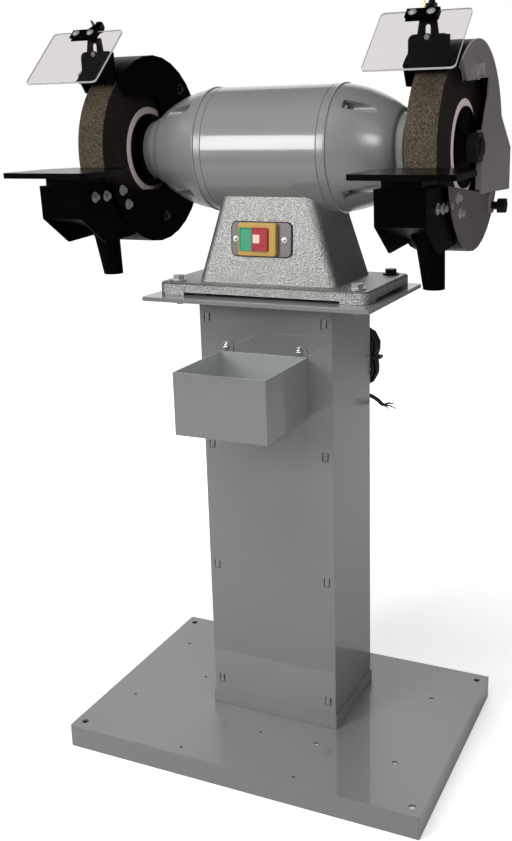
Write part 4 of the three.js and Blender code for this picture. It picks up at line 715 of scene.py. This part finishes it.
grit = finish_of("vitrified_grit", (0.1, 0.08, 0.06), 0.9, Specular_IOR_Level=0.25)
tree = grit.node_tree
coords = node_in(tree, "ShaderNodeTexCoord").outputs["Object"]
from_shaft = maths(tree, "SUBTRACT", coords, (0, shaft_y, shaft_z), kind="VectorMath")
section = maths(tree, "MULTIPLY", from_shaft, (0, 1, 1), kind="VectorMath")
radius = node_in(tree, "ShaderNodeVectorMath", {0: section}, operation="LENGTH").outputs["Value"]
tread = node_in(tree, "ShaderNodeMapRange", {"Value": radius, "From Min": 0.1482, "From Max": 0.1492})
grains = node_in(tree, "ShaderNodeTexVoronoi", {"Vector": coords, "Scale": 760.0})
dust = node_in(tree, "ShaderNodeTexNoise", {"Vector": coords, "Scale": 1400.0, "Detail": 3.0})
speck = maths(tree, "MULTIPLY", grains.outputs["Color"], dust.outputs["Fac"])


def ramp(tree, fac, stops):
    """The colour that a value gives on a ramp of positions and colours."""
    made = node_in(tree, "ShaderNodeValToRGB", {"Fac": fac})
    while len(made.color_ramp.elements) < len(stops):
        made.color_ramp.elements.new(0.5)
    for element, (position, colour) in zip(made.color_ramp.elements, stops):
        element.position = position
        element.color = (*colour, 1)
    return made.outputs["Color"]


pale = ramp(tree, speck, [(0.05, (0.03, 0.024, 0.016)), (0.22, (0.075, 0.06, 0.04)),
                          (0.36, (0.14, 0.113, 0.074)), (0.62, (0.32, 0.27, 0.18))])
dark = ramp(tree, speck, [(0.1, (0.01, 0.007, 0.006)), (0.3, (0.018, 0.013, 0.012)),
                          (0.45, (0.036, 0.028, 0.026)), (0.7, (0.09, 0.072, 0.064))])
tone = node_in(tree, "ShaderNodeMix", {0: tread.outputs[0], 6: dark, 7: pale}, data_type="RGBA")
rough = node_in(tree, "ShaderNodeBump", {"Height": speck, "Strength": 0.7, "Distance": 0.0006})
tree.links.new(tone.outputs[2], tree.nodes["Principled BSDF"].inputs["Base Color"])
tree.links.new(rough.outputs[0], tree.nodes["Principled BSDF"].inputs["Normal"])

blotter_paper = coated("blotter_paper", (0.93, 0.75, 0.75), 0.85, patch=0.35, grain=260.0, height=0.4)
enamel_black = (0.0012, 0.0009, 0.001)
black_look = {"patch": 0.2, "grain": 300.0, "height": 0.04, "change": 0.06}
black_gloss = coated("black_gloss", enamel_black, 0.34, Specular_IOR_Level=0.03, **black_look)
wheel_near, wheel_far, wheel_radius, bore = 0.2678, 0.3178, 0.15, 0.016
corner_across, corner_down, corner_mid = 0.0014, 0.0012, (0.0006, 0.0004)
corners = [(0, corner_down), corner_mid, (corner_across, 0)]
wheel_profile = [(wheel_near, bore), *[(wheel_near + h, wheel_radius - r) for h, r in corners],
                 *[(wheel_far - h, wheel_radius - r) for h, r in corners[::-1]], (wheel_far, bore),
                 (wheel_near, bore)]
paper_radius = 0.0756
nut_flats, nut_height, nut_middle, nut_bore = 0.046, 0.018, 0.3376, 0.0151
for name, side in (("left", -1), ("right", 1)):
    stone = across_shaft(f"wheel_{name}", wheel_profile, side, 160)
    dressed(stone, grit, "rotor")
    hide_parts(f"grinding_wheel_{name}")
    for place, a, b in (("inner", 0.2666, 0.2675), ("outer", 0.3181, 0.3190)):
        ring = [(a, bore), (a, paper_radius), (b, paper_radius), (b, bore), (a, bore)]
        disc = across_shaft(f"{place}_paper_{name}", ring, side)
        dressed(disc, blotter_paper, "rotor")
        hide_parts(f"{place}_blotter_{name}")
    inner = across_shaft(f"inner_flange_round_{name}", [
        (0.2555, bore), (0.2555, 0.0240), (0.2565, 0.0250), (0.2600, 0.0300), (0.2610, 0.0560),
        (0.2623, 0.0632), (0.2632, 0.0640), (0.2663, 0.0640), (0.2663, 0.0460), (0.2648, 0.0460),
        (0.2648, bore), (0.2555, bore)], side)
    outer = across_shaft(f"outer_flange_round_{name}", [
        (0.3208, bore), (0.3208, 0.0460), (0.3193, 0.0460), (0.3193, 0.0640), (0.3220, 0.0640),
        (0.3233, 0.0630), (0.3262, 0.0500), (0.3268, 0.0300), (0.3276, 0.0250), (0.3283, 0.0240),
        (0.3283, bore), (0.3208, bore)], side)
    for piece, place in ((inner, "inner"), (outer, "outer")):
        dressed(piece, black_gloss, "rotor")
        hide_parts(f"{place}_flange_{name}")
    nut = fresh(bpy.ops.mesh.primitive_cylinder_add, f"wheel_nut_round_{name}", vertices=6,
                radius=nut_flats / math.sqrt(3), depth=nut_height, location=(0, 0, nut_middle))
    edit(nut, "FACE", lambda c, n: n.z > 0.9)
    bpy.ops.mesh.inset(thickness=0.0034)
    bpy.ops.transform.translate(value=(0, 0, 0.0002))
    done()
    edit(nut, "EDGE", lambda a, b: abs(a.z - b.z) > 0.01)
    bpy.ops.mesh.bevel(offset=0.0008, segments=2, affect="EDGES")
    done()
    hollowed(nut, turned_piece("bore_tool", [(0.32, nut_bore), (0.36, nut_bore)], 64))
    put(nut, end_line(side))
    dressed(nut, black_bolt, "rotor")
    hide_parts(f"wheel_nut_{name}")

# Guards, dust hoppers, tool rests and spark plates: bent and welded steel sheet in black gloss.
# Hexagon bolts with washers hold the hoppers' cheeks and the guards' inner walls.
outer_wall = 0.3376
guard_black_and_painted_sheen = coated("guard_black", enamel_black, 0.34, Specular_IOR_Level=0.03, **black_look)
tree = guard_black_and_painted_sheen.node_tree
coords = node_in(tree, "ShaderNodeTexCoord").outputs["Object"]
from_middle = maths(tree, "SUBTRACT", coords, (motor_middle, 0, 0), kind="VectorMath")
reach = maths(tree, "ABSOLUTE", node_in(tree, "ShaderNodeSeparateXYZ", {0: from_middle}).outputs[0])
# Painted sheen: beyond the outer wall the black is painted brown-grey, standing in for the reflection of the
# bright surroundings on the right.
recoloured(guard_black_and_painted_sheen, maths(tree, "GREATER_THAN", reach, outer_wall), (0.13, 0.115, 0.113))
rest_paint = coated("rest_black", enamel_black, 0.24, Specular_IOR_Level=0.08, **black_look)
for name in ("left", "right"):
    dress(f"wheel_guard_{name}", guard_black_and_painted_sheen, 0.0005, 3)
    dress(f"tool_rest_{name}", rest_paint, 0.003, 4)
    for stem in ("dust_hopper", "spark_plate", "shield_arm", "shield_clamp"):
        dress(f"{stem}_{name}", black_gloss, 0.0005, 3)
wheel_centres = {"left": -0.3067, "right": 0.2789}
cheek_bolts = {"left": ((-0.1390, 1.0221), (-0.1052, 1.0216)),
               "right": ((-0.1259, 1.0115), (-0.0977, 1.0090), (-0.0678, 1.0110))}
wall_bolts = {"left": ((-0.0604, 1.0278), (-0.0449, 1.0026)),
              "right": ((-0.0419, 1.0204), (-0.0243, 0.9957))}
guard_bolts = ((0.088, 0.107), (0.017, -0.120))
cheek_out, inner_wall_out, outer_wall_out = 0.0391, 0.0424, 0.0456
for name, x in wheel_centres.items():
    wall = inner_wall_out if name == "left" else outer_wall_out
    spots = [(x + cheek_out, y, z) for y, z in cheek_bolts[name]]
    spots += [(x + wall, y, z) for y, z in wall_bolts[name]]
    for i, spot in enumerate(spots):
        piece = copied(bolt, f"hopper_bolt_{name}_{i}", Matrix.Translation(spot) @ facing["right"])
        dressed(piece, dull_zinc, "stand")
    inner_x = x + inner_wall_out if name == "left" else x - inner_wall_out
    turn = facing["right" if name == "left" else "left"]
    for i, (dy, dz) in enumerate(guard_bolts):
        at = Matrix.Translation((inner_x, shaft_y + dy, shaft_z + dz))
        piece = copied(bolt, f"guard_bolt_{name}_{i}", at @ turn)
        dressed(piece, dark_steel, "stand")

# Guard covers: thicker sheet in black gloss, painted brown-grey as a painted sheen for the reflection of the
# bright surroundings on the right. Each is held by a bright nut in its slot and by a lobed hand knob at its
# lower tab.
cover_painted_sheen = coated("cover_black_painted_sheen", (0.25, 0.225, 0.222), 0.4, patch=0.12, grain=380.0, height=0.12,
                     change=0.1)
knob_black = coated("knob_black", (0.004, 0.004, 0.004), 0.4, grain=500.0, height=0.1,
                    Specular_IOR_Level=0.2)
cover_face, slot_back, slot_rise, cover_nut_size = 0.3419, 0.012, 0.118, 1.74
for name, side in (("left", -1), ("right", 1)):
    dress(f"guard_cover_{name}", cover_painted_sheen, 0.0006)
    dress(f"cover_knob_{name}", knob_black, 0.0008)
    turn = facing["right" if side > 0 else "left"]
    at = Matrix.Translation((motor_middle + side * cover_face, shaft_y - slot_back, shaft_z + slot_rise))
    piece = copied(bolt, f"cover_nut_{name}", at @ turn @ Matrix.Scale(cover_nut_size, 4))
    dressed(piece, dull_zinc, "stand")

# Shield holders: the slotted arm slides on a stud, the clamp bar grips the pane with two screws,
# and a zinc wing screw pinches the clamp's ear to the arm's ear.
zinc = coated("yellow_zinc", (0.62, 0.52, 0.3), 0.34, metallic=1.0, patch=0.3, grain=700.0)
small_screw = pan_screw("small_screw_model", 0.0043, 0.0028, 0.0008)
slope = math.radians(42.45)
down_pane = Vector((0, -math.cos(slope), -math.sin(slope)))
pane_out = Vector((0, -math.sin(slope), math.cos(slope)))
pane_top_y, pane_top_z = -0.0715, 1.2878
screw_inset, screw_apart, clamp_rise = 0.008, 0.014, 0.0060
stud_place, stud_size = (-0.0015, -0.0566, 1.2531), 0.62
for name, x in wheel_centres.items():
    # Painted shade: the left wing screw gets the blackened bolt finish, though it is a zinc screw like the
    # right one.
    dress(f"wing_screw_{name}", zinc if name == "right" else black_bolt, 0.0007)
    stud = Matrix.Translation(Vector((x, 0, 0)) + Vector(stud_place)) @ facing["front"]
    piece = copied(small_screw, f"arm_stud_{name}", stud @ Matrix.Scale(stud_size, 4))
    dressed(piece, dull_zinc, "stand")
    for i, k in enumerate((-1, 1)):
        top = Vector((x - 0.002 + k * screw_apart, pane_top_y, pane_top_z))
        at = Matrix.Translation(top + down_pane * screw_inset + pane_out * clamp_rise)
        turned = Matrix.Rotation(slope, 4, "X") @ Matrix.Rotation(0.5 + i, 4, "Z")
        piece = copied(small_screw, f"clamp_screw_{name}_{i}", at @ turned)
        dressed(piece, dull_zinc, f"eye_shield_{name}")
bpy.data.objects.remove(small_screw)
bpy.data.objects.remove(bolt)

# Eye shields: clear panes with round corners, a little smoky, whose sawn edges are pale. Two holes
# take the clamp's screws.
clear_pane = finish_of("clear_pane", (0.73, 0.7, 0.695), 0.04, Transmission_Weight=1.0, IOR=1.12)
pale_edge = finish_of("pale_sawn_edge", (0.8, 0.78, 0.77), 0.4)
pane_width, pane_length, pane_thickness, pane_shift = 0.137, 0.1225, 0.0035, 0.0025
hole_radius, hole_shift = 0.0028, -0.0045
for name, x in wheel_centres.items():
    sheet = fresh(bpy.ops.mesh.primitive_cube_add, f"pane_{name}", size=1,
                  scale=(pane_width, pane_length, pane_thickness), location=(0, -pane_length / 2, 0))
    edit(sheet, "EDGE", lambda a, b: abs(a.z - b.z) > 0.001)
    bpy.ops.mesh.bevel(offset=0.007, segments=8, affect="EDGES")
    done()
    for k in (-1, 1):
        tool = turned_piece("hole_tool", [(-0.004, hole_radius), (0.004, hole_radius)], 32)
        hollowed(sheet, put(tool, Matrix.Translation((k * screw_apart + hole_shift, -screw_inset, 0))))
    apply_modifier(sheet, "BEVEL", width=0.0005, segments=2, limit_method="ANGLE",
                   angle_limit=math.radians(60))
    top = Matrix.Translation((x + pane_shift, pane_top_y, pane_top_z))
    put(sheet, top @ Matrix.Rotation(slope, 4, "X"))
    dressed(sheet, clear_pane, f"eye_shield_{name}", 5)
    sheet.data.materials.append(pale_edge)
    edit(sheet, "FACE", lambda c, n: abs(n.dot(pane_out)) < 0.9)
    sheet.active_material_index = 1
    bpy.ops.object.material_slot_assign()
    done()
    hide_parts(f"eye_shield_{name}")
